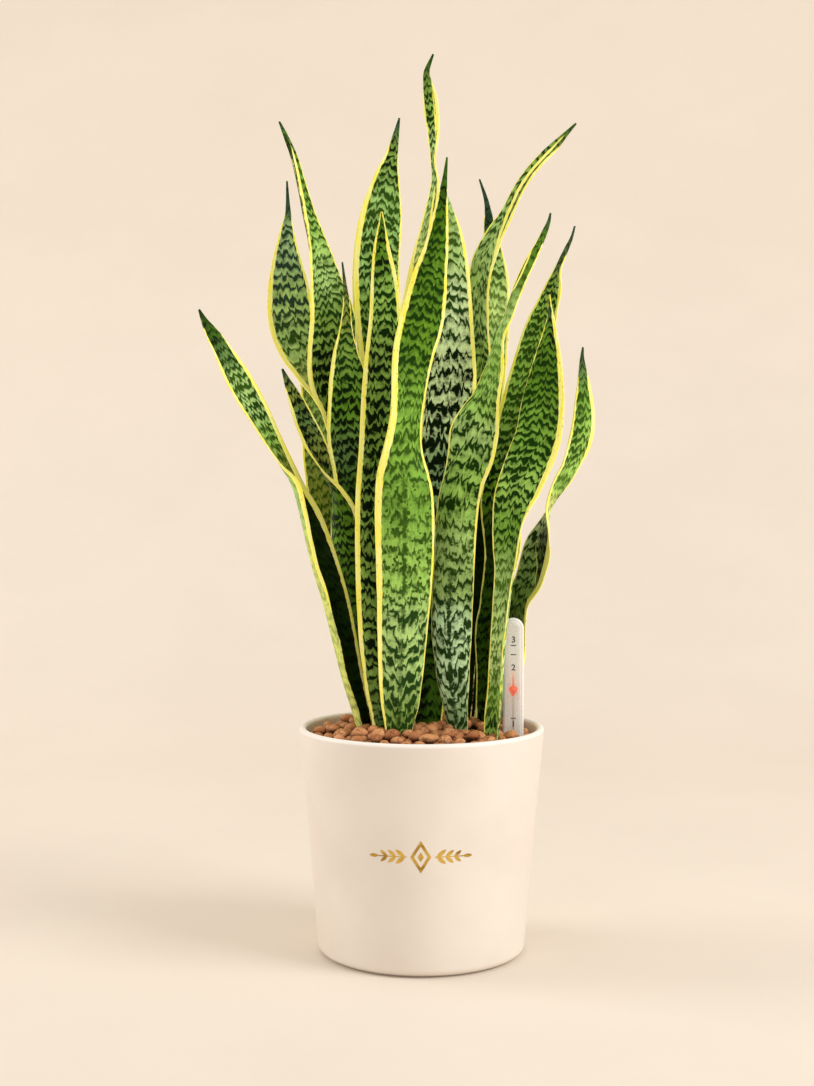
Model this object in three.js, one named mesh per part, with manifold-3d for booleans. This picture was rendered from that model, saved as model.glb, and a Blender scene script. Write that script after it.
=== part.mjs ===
// A snake plant in a tapered cream pot filled with clay pebbles, with a water gauge at its right.
// Millimetres, +Z up. The origin is the middle of the flat foot that the pot stands on.
import * as THREE from 'three';
import { mergeVertices } from 'three/addons/utils/BufferGeometryUtils.js';
import Module from 'manifold-3d';

const wasm = await Module();
wasm.setup();

// ---------------------------------------------------------------- driving dimensions
const POT_HEIGHT = 195;
const POT_TOP_RADIUS = 105.5; // where the wall's outer line would meet the rim's level
const POT_BASE_RADIUS = 88.3; // where the same line would meet the ground
const WALL = 6.2;
const LIP_RADIUS = 3;
const FLOOR_THICKNESS = 8;
const FOOT_RADIUS = 82;
const FOOT_HEIGHT = 1.5; // the foot is set in, which leaves a thin dark line under the pot
const CORNER_RADIUS = 6;
const POT_SIDES = 44;

const GAP = 0.35; // between pieces that touch
const BED_EDGE_HEIGHT = 183.5; // the pebbles' mean level at the wall
const BED_CROWN = 8; // and how much higher it is in the middle
const FILL_DROP = 1.5; // how far the fill between the top pebbles lies below their middles
const BED_SIDES = 22; // half as many as the pot, so that its corners meet the pot's
const PEBBLE_COUNT = 84;
const PEBBLE_SPREAD = 88; // radius of the circle that holds the pebbles' middles
const PEBBLE_SIZE = { long: [7.8, 9.6], wide: [6.8, 8.4], tall: [5.6, 7.2] }; // half sizes
const PEBBLE_SEED = 2027;
const TOP_PEBBLES = [[-64, 48], [-52, -46], [22, -54], [-36, -56], [46, -50], [70, 44]]; // lie on the rest
const TOP_PEBBLE_LIFT = 6.5;

const FOOT_LEVEL = 152; // height at which the leaves' feet end, inside the bed
const FOOT_ROOM = 3; // how much deeper their holes go
const RHIZOME_RADIUS = 9; // at its knots
const RHIZOME_WAIST = 0.84; // of that, between them

// The gauge's foot stops where the narrowing pot would meet it.
const GAUGE = { x: 78.4, y: -8, radius: 9, wall: 1.4, top: 288.5, bottom: 72, lip: 3.2 };
const FLOAT = { radius: 6.3, bottom: 97, height: 33, bore: 1.3, boreDepth: 12 };
const POINTER = { rod: 1.0, low: 221.5, high: 230.5, radius: 3.9, stemTop: 243, stem: 0.75 };

const LEAF_MIDDLE = { foot: 3.2, tip: 1.2 }; // thickness at the middle of the blade
const LEAF_MARGIN = 0.9; // thickness at its two edges
const ACROSS = [-1, -0.5, 0, 0.5, 1];
const ROWS_PER_STATION = 1.15;
const HOLE_ROWS = 3; // how many of a leaf's rows its hole in the pebbles follows

// The viewpoint that the leaves' stations are sighted from, level with the middle of the plant.
const EYE = new THREE.Vector3(-12.5, -1455, 415.4);

// ---------------------------------------------------------------- colours
const finish = (name, color, roughness) => {
	const material = new THREE.MeshStandardMaterial({ color, roughness, metalness: 0 });
	material.name = name;
	return material;
};
const CREAM = finish('cream_pot', 0xeee0cd, 0.55);
const CLAY = finish('fired_clay', 0x96603f, 0.9);
const ROOT = finish('root', 0xc9a77a, 0.8);
const FROSTED = finish('frosted_plastic', 0xd8d4cf, 0.35);
const RED = finish('red_plastic', 0xe2482a, 0.4);
const FOAM = finish('white_foam', 0xf2f1ec, 0.7);
const GREEN = finish('striped_leaf', 0x4f7c3a, 0.45);
const PALE = finish('pale_striped_leaf', 0x8fae83, 0.45);

// ---------------------------------------------------------------- leaves
// A station is [x, z, depth, half, turn, cup]. x and z are where the blade's middle line is seen
// from the viewpoint, measured on the plane through the pot's axis. depth carries it back along the
// line of sight. half is half the blade's width. turn swings its right edge back, in degrees, and
// cup is half the angle that its width is bent through, hollow side to the viewer where positive.
const LEAVES = {
	leaf_far_left: [
		[-52, 187, -12, 14, 60, 82], [-65, 234, -14, 18, 60, 75], [-73.5, 269, -14, 21, 60, 73],
		[-82, 303, -14, 23, 60, 72], [-92, 337, -14, 23, 60, 72], [-101, 372, -15, 21, 68, 65],
		[-110.5, 402, -16, 18, 84, 52], [-121.8, 423, -18, 18, 71, 34], [-140.2, 457, -20, 20.5, 62, 24],
		[-158.6, 491, -23, 19.4, 56, 20], [-175.6, 524, -26, 11.4, 55, 16], [-184.8, 540.5, -28, 4.6, 52, 10],
		[-189.9, 551.5, -30, 0.8, 50, 5],
	],
	leaf_left_short: [
		[-47.5, 195, 4, 12.5, 140, 55], [-51, 226, 4, 15, 145, 48], [-58.6, 286, 2, 18, 145, 42],
		[-64.5, 330, 0, 19, 145, 40], [-69.5, 371, -1, 19, 134, 36], [-75.5, 394, -1, 18, 104, 34],
		[-83, 412, -1, 16, 75, 30], [-91.6, 434, 0, 14.8, 52, 22], [-100.7, 455, 0, 12.8, 46, 16],
		[-107.7, 474, 0, 8.6, 45, 10], [-115.7, 493, 0, 2.8, 40, 6], [-119, 501, 0, 0.8, 40, 5],
	],
	leaf_left_tall: [
		[-38, 200, 46, 12, 25, 55], [-41, 234, 48, 15, 25, 45], [-47.5, 303, 53, 17, 28, 34],
		[-54, 372, 57, 17, 32, 28], [-61, 423, 60, 17, 35, 24], [-68, 453, 62, 17, 35, 22],
		[-82.5, 483, 64, 17, 34, 20], [-94.5, 501.5, 65, 18, 24, 18], [-105.5, 521, 66, 18.5, 10, 16],
		[-111.6, 542, 67, 19.6, 0, 14], [-113.5, 568, 68, 17.8, 0, 12], [-114.8, 593, 68, 12.3, 0, 10],
		[-114.8, 614, 69, 7, 0, 8], [-113.7, 634, 70, 2.4, 0, 6], [-114.5, 660, 70, 0.7, 0, 5],
	],
	leaf_left_highest: [
		[-36, 200, 32, 13, 20, 55], [-42, 286, 38, 17, 20, 36], [-49, 355, 42, 18, 20, 30],
		[-56, 406, 44, 18, 18, 26], [-61, 440, 45, 18.5, 16, 24], [-68.5, 466, 45, 19, 14, 22],
		[-77.5, 491, 45, 20, 12, 20], [-77.5, 517, 45, 21, 10, 20], [-76.4, 542, 45, 20.5, 14, 24],
		[-82.2, 568, 45, 18, 28, 34], [-87.2, 589, 45, 15, 38, 46], [-92.9, 610, 45, 12.5, 46, 56],
		[-98.6, 631, 45, 10, 52, 60], [-103, 652, 45, 7.5, 54, 58], [-108.6, 677, 45, 5.2, 52, 46],
		[-115.3, 697, 45, 2.6, 45, 25], [-120.8, 710, 45, 0.7, 40, 10],
	],
	leaf_left_inner: [
		[-38.5, 200, 18, 12, 12, 55], [-49.5, 320, 26, 17, 12, 32], [-53.5, 372, 29, 18, 12, 28],
		[-57.5, 412, 30, 19, 10, 25], [-62.5, 440, 30, 19, 8, 22], [-62.5, 466, 30, 18.5, 6, 20],
		[-63, 491, 30, 16.5, 6, 18], [-65, 513, 30, 11.2, 4, 14], [-64.6, 534, 30, 5.8, 0, 10],
		[-64, 555, 30, 3.2, 0, 8], [-65.4, 572, 30, 1.6, 0, 6], [-67.6, 591.5, 30, 0.7, 0, 5],
	],
	leaf_left_hidden: [
		[-46, 200, 60, 12, 15, 50], [-57, 286, 68, 16, 15, 36], [-66.5, 337, 72, 17, 18, 30],
		[-80, 389, 76, 18.5, 18, 25], [-85.3, 420.5, 78, 17.5, 15, 22], [-87.5, 449, 79, 15.5, 12, 18],
		[-92, 483, 80, 11.5, 10, 14], [-101, 508, 81, 7, 5, 10], [-106, 529.5, 82, 0.8, 0, 5],
	],
	leaf_centre_left: [
		[-30, 195, -28, 13, 20, -60], [-33.5, 234, -30, 16.5, 22, -45],
		[-36.8, 286, -32, 18.5, 24, -36], [-37.8, 337, -33, 19.5, 25, -30],
		[-37.3, 389, -33, 20, 25, -26], [-34.8, 432, -32, 19.5, 24, -22], [-34, 474, -31, 18, 20, -18],
		[-32.5, 508, -30, 16.5, 14, -14], [-31, 542, -29, 14, 6, -10], [-32, 576, -28, 11.3, 0, -8],
		[-34, 601.5, -27, 7.4, 0, -6], [-34, 622.6, -26, 3, 0, -5], [-34, 634, -26, 0.8, 0, -5],
	],
	leaf_front: [
		[-19.5, 187, -50, 14, 0, -60], [-18.6, 217, -52, 18.3, 0, -42], [-17.3, 251, -54, 21.2, 0, -34],
		[-16, 286, -56, 23.2, 0, -30], [-14.6, 320, -57, 25, 0, -28], [-14.5, 355, -58, 26.2, 0, -26],
		[-14.6, 389, -59, 25.8, 2, -24], [-15.4, 410, -59, 23.2, 10, -22],
		[-14.5, 432, -59, 19.5, 28, -18], [-12, 457, -59, 18, 40, -14], [-9, 491, -60, 18.6, 32, -12],
		[-6, 517, -60, 18.8, 18, -12], [-0.6, 538, -60, 19, 6, -12], [3.4, 559, -60, 17.4, 0, -12],
		[7.2, 580, -60, 14.8, 0, -12], [12, 601.5, -60, 10.8, 0, -12], [16, 631, -60, 6.6, 0, -10],
		[19, 657, -60, 2.6, 0, -6], [21.5, 680, -60, 0.7, 0, -5],
	],
	leaf_back_broad: [
		[-21, 200, 44, 13, 0, 50], [-24.6, 303, 52, 17, 0, 32], [-27, 389, 57, 18, 0, 24],
		[-30.5, 474, 61, 18.5, 0, 18], [-34.8, 517, 64, 20.3, 0, 16], [-37.9, 551, 66, 20.4, 0, 14],
		[-38.8, 580, 68, 20.3, 0, 12], [-37.6, 606, 69, 19.7, 0, 10], [-34.7, 631, 71, 17.7, 0, 9],
		[-31.6, 652, 72, 13.6, 0, 8], [-28.5, 669, 73, 9, 0, 7], [-24.5, 686, 74, 4.6, 0, 6],
		[-19, 713, 75, 0.7, 0, 5],
	],
	leaf_highest: [
		[-16, 200, 14, 13, -5, 50], [-14, 303, 17, 16, -5, 34], [-12, 389, 19, 16.5, -5, 26],
		[-10, 474, 20, 16, -8, 20], [-6, 527, 21, 15, -12, 18], [-1, 567, 22, 14, -20, 16],
		[4, 601.5, 23, 12.5, -38, 14], [8.5, 631, 24, 10.5, -58, 14], [11.9, 658, 24, 9.6, -67, 12],
		[10.4, 675, 24, 7.8, -74, 10], [10.5, 690, 24, 9.2, -67, 10], [10.3, 703, 24, 7.6, -48, 10],
		[9, 713.5, 24, 7, -28, 10], [7.3, 728, 24, 6.8, -20, 8], [5.1, 742, 24, 4, -20, 6],
		[4.2, 752, 24, 2.4, -15, 5], [9.7, 766.5, 24, 0.8, 0, 5],
	],
	leaf_pale: [
		[5.4, 200, -8, 14, 0, -55], [8, 260, -6, 18, 0, -36], [12, 320, -4, 20, 0, -26],
		[15.6, 380, -2, 21.5, 0, -20], [19, 423, -1, 22, 0, -16], [21.6, 457, 0, 22, 0, -14],
		[25, 491, 0, 22, 0, -12], [24.6, 525, 0, 20.5, 0, -10], [25.2, 559, 0, 17.7, 0, -10],
		[25.7, 589, 0, 14.2, 0, -8], [25.7, 614, 0, 9.3, 0, -8], [23, 635, 0, 4, 0, -6],
		[20, 650.5, 0, 0.7, 0, -5],
	],
	leaf_back_right: [
		[38, 200, 40, 12, -25, 50], [43, 303, 45, 16, -22, 34], [46, 372, 48, 17, -20, 26],
		[50, 440, 51, 17.5, -15, 22], [55, 491, 53, 17, -10, 18], [59, 529, 55, 15.5, -5, 15],
		[61, 559, 56, 14, 0, 12], [62.3, 580, 57, 11.4, 0, 10], [60.5, 601.5, 58, 7.8, 0, 9],
		[58, 618, 58, 5.8, 0, 8], [56.5, 634, 59, 2.9, 0, 6], [54.2, 646, 59, 1.7, 0, 6],
		[49.1, 661.5, 60, 0.7, 0, 5],
	],
	leaf_arching_right: [
		[33, 200, 15, 12, -20, 40], [39.5, 303, 19, 16, -22, 28], [45, 389, 20, 17, -26, 22],
		[50, 457, 20, 17, -42, 20], [52, 508, 20, 16.5, -58, 18], [51, 551, 19, 16, -60, 18],
		[51.5, 576, 18, 16, -54, 18], [55, 595, 18, 15.5, -52, 18], [63, 612.5, 18, 15, -58, 18],
		[71.8, 628.6, 17, 14, -67, 16], [78.2, 641, 16, 13.5, -69, 16],
		[85.2, 654.6, 15, 12.5, -69, 15], [92.8, 667, 14, 10, -67, 14], [102, 678, 13, 8, -62, 12],
		[113, 689.3, 12, 5.2, -52, 10], [123, 700.2, 11, 2.5, -48, 6], [131, 708.5, 10, 0.7, -45, 5],
	],
	leaf_front_right: [
		[29.5, 195, -28, 11, -15, -60], [26.9, 221, -29, 14.5, -15, -52],
		[24.5, 251.5, -30, 17.8, -16, -46], [24, 286, -31, 20, -18, -42], [25, 320, -31, 20, -20, -40],
		[27, 359, -31, 20.2, -22, -36], [30, 389, -31, 20.2, -24, -32],
		[35, 408.6, -30, 20.3, -26, -26], [41, 427, -29, 21.5, -20, -20],
		[43.8, 446, -28, 22.5, -20, -18], [47.7, 463, -27, 21.3, -36, -18],
		[53.5, 480, -26, 19.3, -54, -18], [58.8, 498, -25, 17.8, -63, -18],
		[61.4, 512.6, -24, 16.6, -70, -18], [65.5, 529.5, -23, 14.2, -75, -16],
		[72.7, 546.5, -22, 13, -73, -14], [80.5, 567.7, -21, 12, -71, -12],
		[91.1, 591.4, -20, 9.4, -64, -10], [99.8, 607.4, -20, 6, -63, -8],
		[107.3, 623.5, -20, 2.4, -55, -5], [109.6, 633, -20, 0.7, -50, -5],
	],
	leaf_broad_right: [
		[64, 191, -42, 12, -54, 55], [67, 225.6, -46, 14, -63, 45], [69, 260, -49, 16, -68, 40],
		[72.4, 294.6, -52, 18, -67, 36], [74.9, 324.7, -54, 19, -64.5, 32],
		[75.7, 350.5, -56, 20, -56, 30], [79, 380.4, -58, 20.5, -40, 28],
		[84.5, 400, -59, 20.5, -22, 25], [93.2, 423, -60, 20.8, -15, 20],
		[100.5, 444.5, -61, 20.3, -15, 16], [104, 470, -62, 19.3, -18, 14],
		[107, 495.5, -63, 16, -26, 12], [108.8, 517, -64, 11.3, -28, 10],
		[110, 540.6, -65, 4.3, -25, 8], [109.5, 552, -65, 1.8, -20, 6], [108.6, 564, -65, 0.7, -20, 5],
	],
	leaf_behind_right: [
		[57, 195, -8, 12, -55, 55], [58.8, 234, -8, 15, -60, 46], [59, 277, -8, 17.5, -62, 40],
		[63.5, 299, -8, 18, -57, 36], [71.5, 342, -8, 19, -36, 30], [69.5, 389, -9, 19.5, -22, 24],
		[78.7, 431.7, -10, 19.5, -22, 20], [86.1, 466, -11, 19.8, -28, 18],
		[91.2, 491, -12, 19.4, -32, 16], [96.5, 517, -13, 17, -36, 14], [102.8, 538, -14, 17, -42, 12],
		[109, 556.7, -15, 14.6, -50, 10], [112.9, 572, -16, 11.2, -55, 9],
		[116, 584.6, -17, 6.5, -62, 8], [122.5, 600.6, -18, 3.6, -62, 6],
		[127.4, 611.7, -19, 1.6, -55, 5], [130.3, 622, -20, 0.7, -50, 5],
	],
	leaf_far_right: [
		[76, 191, 21, 10, 122, -45], [79, 217, 22, 12, 124, -42], [82.9, 251.5, 22, 14, 125, -40],
		[83, 282, 20, 16, 126, -38], [86.5, 302, 18.5, 16.6, 132, -35], [95.4, 320, 17, 17.8, 136, -32],
		[101.9, 346, 14, 18.2, 130, -26], [106.4, 363, 11, 17.4, 112, -20], [110.3, 382, 9, 16.4, 84, -14],
		[118.8, 400, 8, 16, 67, -12], [129, 419, 7, 14.5, 58, -10], [136.3, 438.5, 7, 13.2, 45, -10],
		[139.2, 457, 6, 11.6, 35, -10], [138.7, 483, 6, 7, 28, -8], [137.7, 497, 5, 4, 22, -6],
		[137, 510, 5, 1.8, 15, -5], [137.6, 519.4, 5, 0.7, 10, -5],
	],
};

const radians = THREE.MathUtils.degToRad;

// A smooth value between listed ones: at = 1.5 is half way from the second to the third.
function glide(values, at) {
	const last = values.length - 1;
	const i = Math.min(Math.floor(at), last - 1);
	const [b, c] = [values[i], values[i + 1]];
	const a = i > 0 ? values[i - 1] : 2 * b - c;
	const d = i + 2 <= last ? values[i + 2] : 2 * c - b;
	const t = at - i;
	const [rise, fall] = [(c - a) / 2, (d - b) / 2];
	const curve = [b, rise, 3 * (c - b) - 2 * rise - fall, 2 * (b - c) + rise + fall];
	return curve[0] + t * (curve[1] + t * (curve[2] + t * curve[3]));
}

// The listed stations as true places, with the buried foot straight below the first.
function trueStations(rows) {
	const stations = rows.map(([x, z, depth, half, turn, cup]) => {
		const stretch = 1 + depth / -EYE.y;
		const place = new THREE.Vector3(x, 0, z).sub(EYE).multiplyScalar(stretch).add(EYE);
		return [place.x, place.y, place.z, half * stretch, turn, cup];
	});
	const [x, y, , half, turn, cup] = stations[0];
	return [[x, y, FOOT_LEVEL, 0.85 * half, turn, cup], ...stations];
}

// The blade's two faces at one place along it, as points from its left edge to its right.
function bladeSection(stations, at, grow) {
	const column = (k, t) => glide(stations.map((s) => s[k]), t);
	const place = (t) => new THREE.Vector3(column(0, t), column(1, t), column(2, t));
	const last = stations.length - 1;
	const middle = place(at);
	const along = place(Math.min(at + 0.05, last)).sub(place(Math.max(at - 0.05, 0))).normalize();
	const right = middle.clone().sub(EYE).cross(along).normalize();
	const away = along.clone().cross(right);
	const turn = radians(column(4, at));
	const side = right.multiplyScalar(Math.cos(turn)).addScaledVector(away, Math.sin(turn));
	const facing = side.clone().cross(along).normalize();
	const half = column(3, at) + grow;
	const cup = radians(column(5, at));
	const bend = half / cup;
	const ripe = at / last;
	const thick = LEAF_MIDDLE.foot + (LEAF_MIDDLE.tip - LEAF_MIDDLE.foot) * ripe;
	return ACROSS.map((u) => {
		const angle = u * cup;
		const spot = middle.clone().addScaledVector(side, bend * Math.sin(angle));
		spot.addScaledVector(facing, bend * (1 - Math.cos(angle)));
		const normal = facing.clone().multiplyScalar(Math.cos(angle));
		normal.addScaledVector(side, -Math.sin(angle));
		const body = (LEAF_MARGIN + (thick - LEAF_MARGIN) * (1 - u * u)) / 2 + grow;
		return [spot.clone().addScaledVector(normal, body), spot.clone().addScaledVector(normal, -body)];
	});
}

// A closed blade through rows of sections. Both faces are split into triangles alike.
function bladeGeometry(rows) {
	const points = [];
	const faces = [];
	const across = ACROSS.length;
	const front = (row, k) => (row * across + k) * 2;
	const back = (row, k) => front(row, k) + 1;
	const quad = (a, b, c, d) => faces.push(a, b, c, a, c, d);
	rows.forEach((row) => row.forEach(([near, far]) => points.push(near, far)));
	for (let row = 0; row + 1 < rows.length; row++) {
		for (let k = 0; k + 1 < across; k++) {
			quad(front(row, k), front(row, k + 1), front(row + 1, k + 1), front(row + 1, k));
			quad(back(row, k), back(row + 1, k), back(row + 1, k + 1), back(row, k + 1));
		}
		quad(back(row, 0), front(row, 0), front(row + 1, 0), back(row + 1, 0));
		const k = across - 1;
		quad(front(row, k), back(row, k), back(row + 1, k), front(row + 1, k));
	}
	const top = rows.length - 1;
	for (let k = 0; k + 1 < across; k++) {
		quad(back(0, k), back(0, k + 1), front(0, k + 1), front(0, k));
		quad(front(top, k), front(top, k + 1), back(top, k + 1), back(top, k));
	}
	const geometry = new THREE.BufferGeometry().setFromPoints(points);
	geometry.setIndex(faces);
	return geometry;
}

// Where along a leaf its rows lie: one at the buried foot, and the rest evenly from the first
// station to the tip.
function rowPlaces(stations) {
	const last = stations.length - 1;
	const steps = Math.round((last - 1) * ROWS_PER_STATION);
	return [0, ...Array.from({ length: steps + 1 }, (_, i) => 1 + (i * (last - 1)) / steps)];
}

function leafGeometry(rows) {
	const stations = trueStations(rows);
	return bladeGeometry(rowPlaces(stations).map((at) => bladeSection(stations, at, 0)));
}

// The plain hole that a leaf's foot stands in: the foot's own shape, a little larger and deeper.
function leafHoleGeometry(rows) {
	const stations = trueStations(rows);
	const places = rowPlaces(stations).slice(0, HOLE_ROWS);
	const sections = places.map((at) => bladeSection(stations, at, GAP));
	sections[0].flat().forEach((point) => (point.z -= FOOT_ROOM));
	return bladeGeometry(sections);
}

// ---------------------------------------------------------------- solids
function solid(geometry, matrix = new THREE.Matrix4()) {
	const bare = geometry.clone().applyMatrix4(matrix);
	bare.deleteAttribute('normal');
	bare.deleteAttribute('uv');
	const merged = mergeVertices(bare, 1e-4);
	const mesh = new wasm.Mesh({
		numProp: 3,
		vertProperties: new Float32Array(merged.attributes.position.array),
		triVerts: new Uint32Array(merged.index.array),
	});
	return new wasm.Manifold(mesh);
}

function geometryOf(body) {
	const mesh = body.getMesh();
	const geometry = new THREE.BufferGeometry();
	geometry.setAttribute('position', new THREE.BufferAttribute(mesh.vertProperties, 3));
	geometry.setIndex(new THREE.BufferAttribute(mesh.triVerts, 1));
	return geometry;
}

// A turned shape about the Z axis, from [radius, height] points in order up its outside.
function turned(outline, sides = POT_SIDES) {
	const points = outline.map(([r, z]) => new THREE.Vector2(r, z));
	return new THREE.LatheGeometry(points, sides).rotateX(Math.PI / 2);
}

function arc(centreR, centreZ, radius, fromDegrees, toDegrees, pieces) {
	return Array.from({ length: pieces + 1 }, (_, i) => {
		const angle = radians(fromDegrees + ((toDegrees - fromDegrees) * i) / pieces);
		return [centreR + radius * Math.cos(angle), centreZ + radius * Math.sin(angle)];
	});
}

// ---------------------------------------------------------------- pot
const TAPER = (POT_TOP_RADIUS - POT_BASE_RADIUS) / POT_HEIGHT;
const outerRadius = (z) => POT_BASE_RADIUS + TAPER * z;
const innerRadius = (z) => outerRadius(z) - WALL;

function potGeometry() {
	const cornerZ = FOOT_HEIGHT + CORNER_RADIUS;
	const cornerR = outerRadius(cornerZ) - CORNER_RADIUS;
	const lipZ = POT_HEIGHT - LIP_RADIUS;
	const lipR = outerRadius(lipZ) - LIP_RADIUS;
	return turned([
		[0, 0], [FOOT_RADIUS, 0], [FOOT_RADIUS, FOOT_HEIGHT],
		...arc(cornerR, cornerZ, CORNER_RADIUS, -85, 0, 2),
		...arc(lipR, lipZ, LIP_RADIUS, 0, 180, 5),
		[innerRadius(lipZ - 6), lipZ - 6],
		[innerRadius(FLOOR_THICKNESS + 6), FLOOR_THICKNESS + 6],
		[innerRadius(FLOOR_THICKNESS) - 6, FLOOR_THICKNESS], [0, FLOOR_THICKNESS],
	]);
}

// ---------------------------------------------------------------- pebbles
function dice(seed) {
	let state = seed;
	return (low, high) => {
		state = (state * 16807) % 2147483647;
		return low + ((high - low) * state) / 2147483647;
	};
}

const bedLevel = (r) => BED_EDGE_HEIGHT + BED_CROWN * (1 - (r / PEBBLE_SPREAD) ** 2);

function fillGeometry() {
	const low = FLOOR_THICKNESS + GAP;
	const edgeR = innerRadius(BED_EDGE_HEIGHT) - GAP;
	const ring = PEBBLE_SPREAD / 2;
	return turned([
		[0, low], [innerRadius(FLOOR_THICKNESS) - 6 - GAP, low],
		[innerRadius(FLOOR_THICKNESS + 6) - GAP, FLOOR_THICKNESS + 6],
		[edgeR, BED_EDGE_HEIGHT - FILL_DROP], [ring, bedLevel(ring) - FILL_DROP],
		[0, bedLevel(0) - FILL_DROP],
	], BED_SIDES);
}

// Pebbles on a sunflower spiral, each an uneven ball of few sides sunk half way into the bed, and
// the few that lie on top of them.
function pebbles() {
	const draw = dice(PEBBLE_SEED);
	const goldenAngle = Math.PI * (3 - Math.sqrt(5));
	const pebble = (x, y, lift) => {
		const size = [draw(...PEBBLE_SIZE.long), draw(...PEBBLE_SIZE.wide), draw(...PEBBLE_SIZE.tall)];
		const tilt = new THREE.Euler(draw(-0.35, 0.35), draw(-0.35, 0.35), draw(0, Math.PI));
		const height = bedLevel(Math.hypot(x, y)) + lift + draw(-1.2, 1.6);
		return new THREE.Matrix4().compose(new THREE.Vector3(x, y, height),
			new THREE.Quaternion().setFromEuler(tilt), new THREE.Vector3(...size));
	};
	const spiral = Array.from({ length: PEBBLE_COUNT }, (_, i) => {
		const r = PEBBLE_SPREAD * Math.sqrt((i + 0.5) / PEBBLE_COUNT);
		const angle = i * goldenAngle;
		return pebble(r * Math.cos(angle), r * Math.sin(angle), 0);
	});
	return [...spiral, ...TOP_PEBBLES.map(([x, y]) => pebble(x, y, TOP_PEBBLE_LIFT))];
}

// ---------------------------------------------------------------- rhizome
// The creeping stem that every leaf grows from: its knots [x, y] and the stretches that link them.
const RHIZOME_HEIGHT = FOOT_LEVEL - GAP - 0.3 - RHIZOME_RADIUS;
const KNOTS = {
	a: [-47, -2], b: [-38, 34], c: [-44, 58], d: [-21, 42], e: [-28, -27], f: [-19, -50], g: [-14, 12],
	h: [6, -8], i: [31, -26], j: [33, 10], k: [38, 40], l: [57, -8], m: [62, -41], n: [76, 14],
};
const LINKS = ['ab', 'bc', 'bd', 'ae', 'ef', 'eg', 'gh', 'hi', 'im', 'hj', 'jk', 'jl', 'ln'];

function rodBetween(from, to, radius, sides) {
	const length = from.distanceTo(to);
	const up = new THREE.Vector3(0, 1, 0);
	const turn = new THREE.Quaternion().setFromUnitVectors(up, to.clone().sub(from).normalize());
	const middle = from.clone().add(to).multiplyScalar(0.5);
	const rod = new THREE.CylinderGeometry(radius, radius, length, sides);
	return solid(rod, new THREE.Matrix4().compose(middle, turn, new THREE.Vector3(1, 1, 1)));
}

function rhizomeSolid(grow) {
	const radius = RHIZOME_RADIUS + grow;
	const joint = (name) => new THREE.Vector3(...KNOTS[name], RHIZOME_HEIGHT);
	const ball = new THREE.IcosahedronGeometry(radius, 0);
	const knots = Object.keys(KNOTS).map((name) => {
		return solid(ball, new THREE.Matrix4().setPosition(joint(name)));
	});
	const rods = LINKS.map(([from, to]) => rodBetween(joint(from), joint(to), RHIZOME_WAIST * radius, 5));
	return wasm.Manifold.union([...knots, ...rods]);
}

// The pebbles and the fill below them as one body, with plain holes for what stands in it.
function bedGeometry() {
	const ball = new THREE.IcosahedronGeometry(1, 0);
	const heap = wasm.Manifold.union([solid(fillGeometry()), ...pebbles().map((m) => solid(ball, m))]);
	const gaugeHole = new THREE.CylinderGeometry(GAUGE.radius + GAP, GAUGE.radius + GAP, 300, 24);
	const gaugeMatrix = new THREE.Matrix4().makeRotationX(Math.PI / 2);
	gaugeMatrix.setPosition(GAUGE.x, GAUGE.y, GAUGE.bottom - GAP + 150);
	const holes = Object.values(LEAVES).map((rows) => solid(leafHoleGeometry(rows)));
	const cuts = [...holes, rhizomeSolid(GAP), solid(gaugeHole, gaugeMatrix)];
	const pieces = heap.subtract(wasm.Manifold.union(cuts)).decompose();
	pieces.sort((a, b) => b.volume() - a.volume());
	return geometryOf(pieces[0]); // the chips that the holes cut loose are dropped
}

// ---------------------------------------------------------------- water gauge
function gaugeTubeGeometry() {
	const { radius, wall, top, bottom, lip } = GAUGE;
	const inside = radius - wall;
	return turned([
		...arc(0, top - radius, inside, 90, 0, 3).map(([r, z], i) => [i === 0 ? 0 : r, z]),
		[inside, bottom + 2], [lip, bottom + 1], [lip, bottom], [radius, bottom],
		...arc(0, top - radius, radius, 0, 90, 3).map(([r, z], i) => [i === 3 ? 0 : r, z]),
	], 20);
}

function gaugeFloatGeometry() {
	const { radius, bottom, height, bore, boreDepth } = FLOAT;
	const top = bottom + height;
	return turned([
		[0, bottom], [radius - 1, bottom], [radius, bottom + 1], [radius, top - 1],
		[radius - 1, top], [bore, top], [bore, top - boreDepth], [0, top - boreDepth],
	], 16);
}

function gaugePointerGeometry() {
	const { rod, low, high, radius, stemTop, stem } = POINTER;
	const foot = FLOAT.bottom + FLOAT.height - FLOAT.boreDepth + GAP;
	const shoulder = low + 0.62 * (high - low);
	return turned([
		[0, foot], [rod, foot], [rod, low], [0.6 * radius, low + 2.4], [radius, shoulder],
		[0.92 * radius, high - 1.4], [0.5 * radius, high], [stem, high], [stem, stemTop], [0, stemTop],
	], 12);
}

// ---------------------------------------------------------------- the assembly
const plant = new THREE.Group();

function place(name, geometry, material, x = 0, y = 0) {
	const mesh = new THREE.Mesh(geometry, material);
	mesh.name = name;
	mesh.position.set(x, y, 0);
	plant.add(mesh);
}

place('pot', potGeometry(), CREAM);
place('pebble_bed', bedGeometry(), CLAY);
place('rhizome', geometryOf(rhizomeSolid(0)), ROOT);
place('gauge_tube', gaugeTubeGeometry(), FROSTED, GAUGE.x, GAUGE.y);
place('gauge_float', gaugeFloatGeometry(), FOAM, GAUGE.x, GAUGE.y);
place('gauge_pointer', gaugePointerGeometry(), RED, GAUGE.x, GAUGE.y);
for (const [name, rows] of Object.entries(LEAVES)) {
	place(name, leafGeometry(rows), name === 'leaf_pale' ? PALE : GREEN);
}

export default plant;
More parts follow.
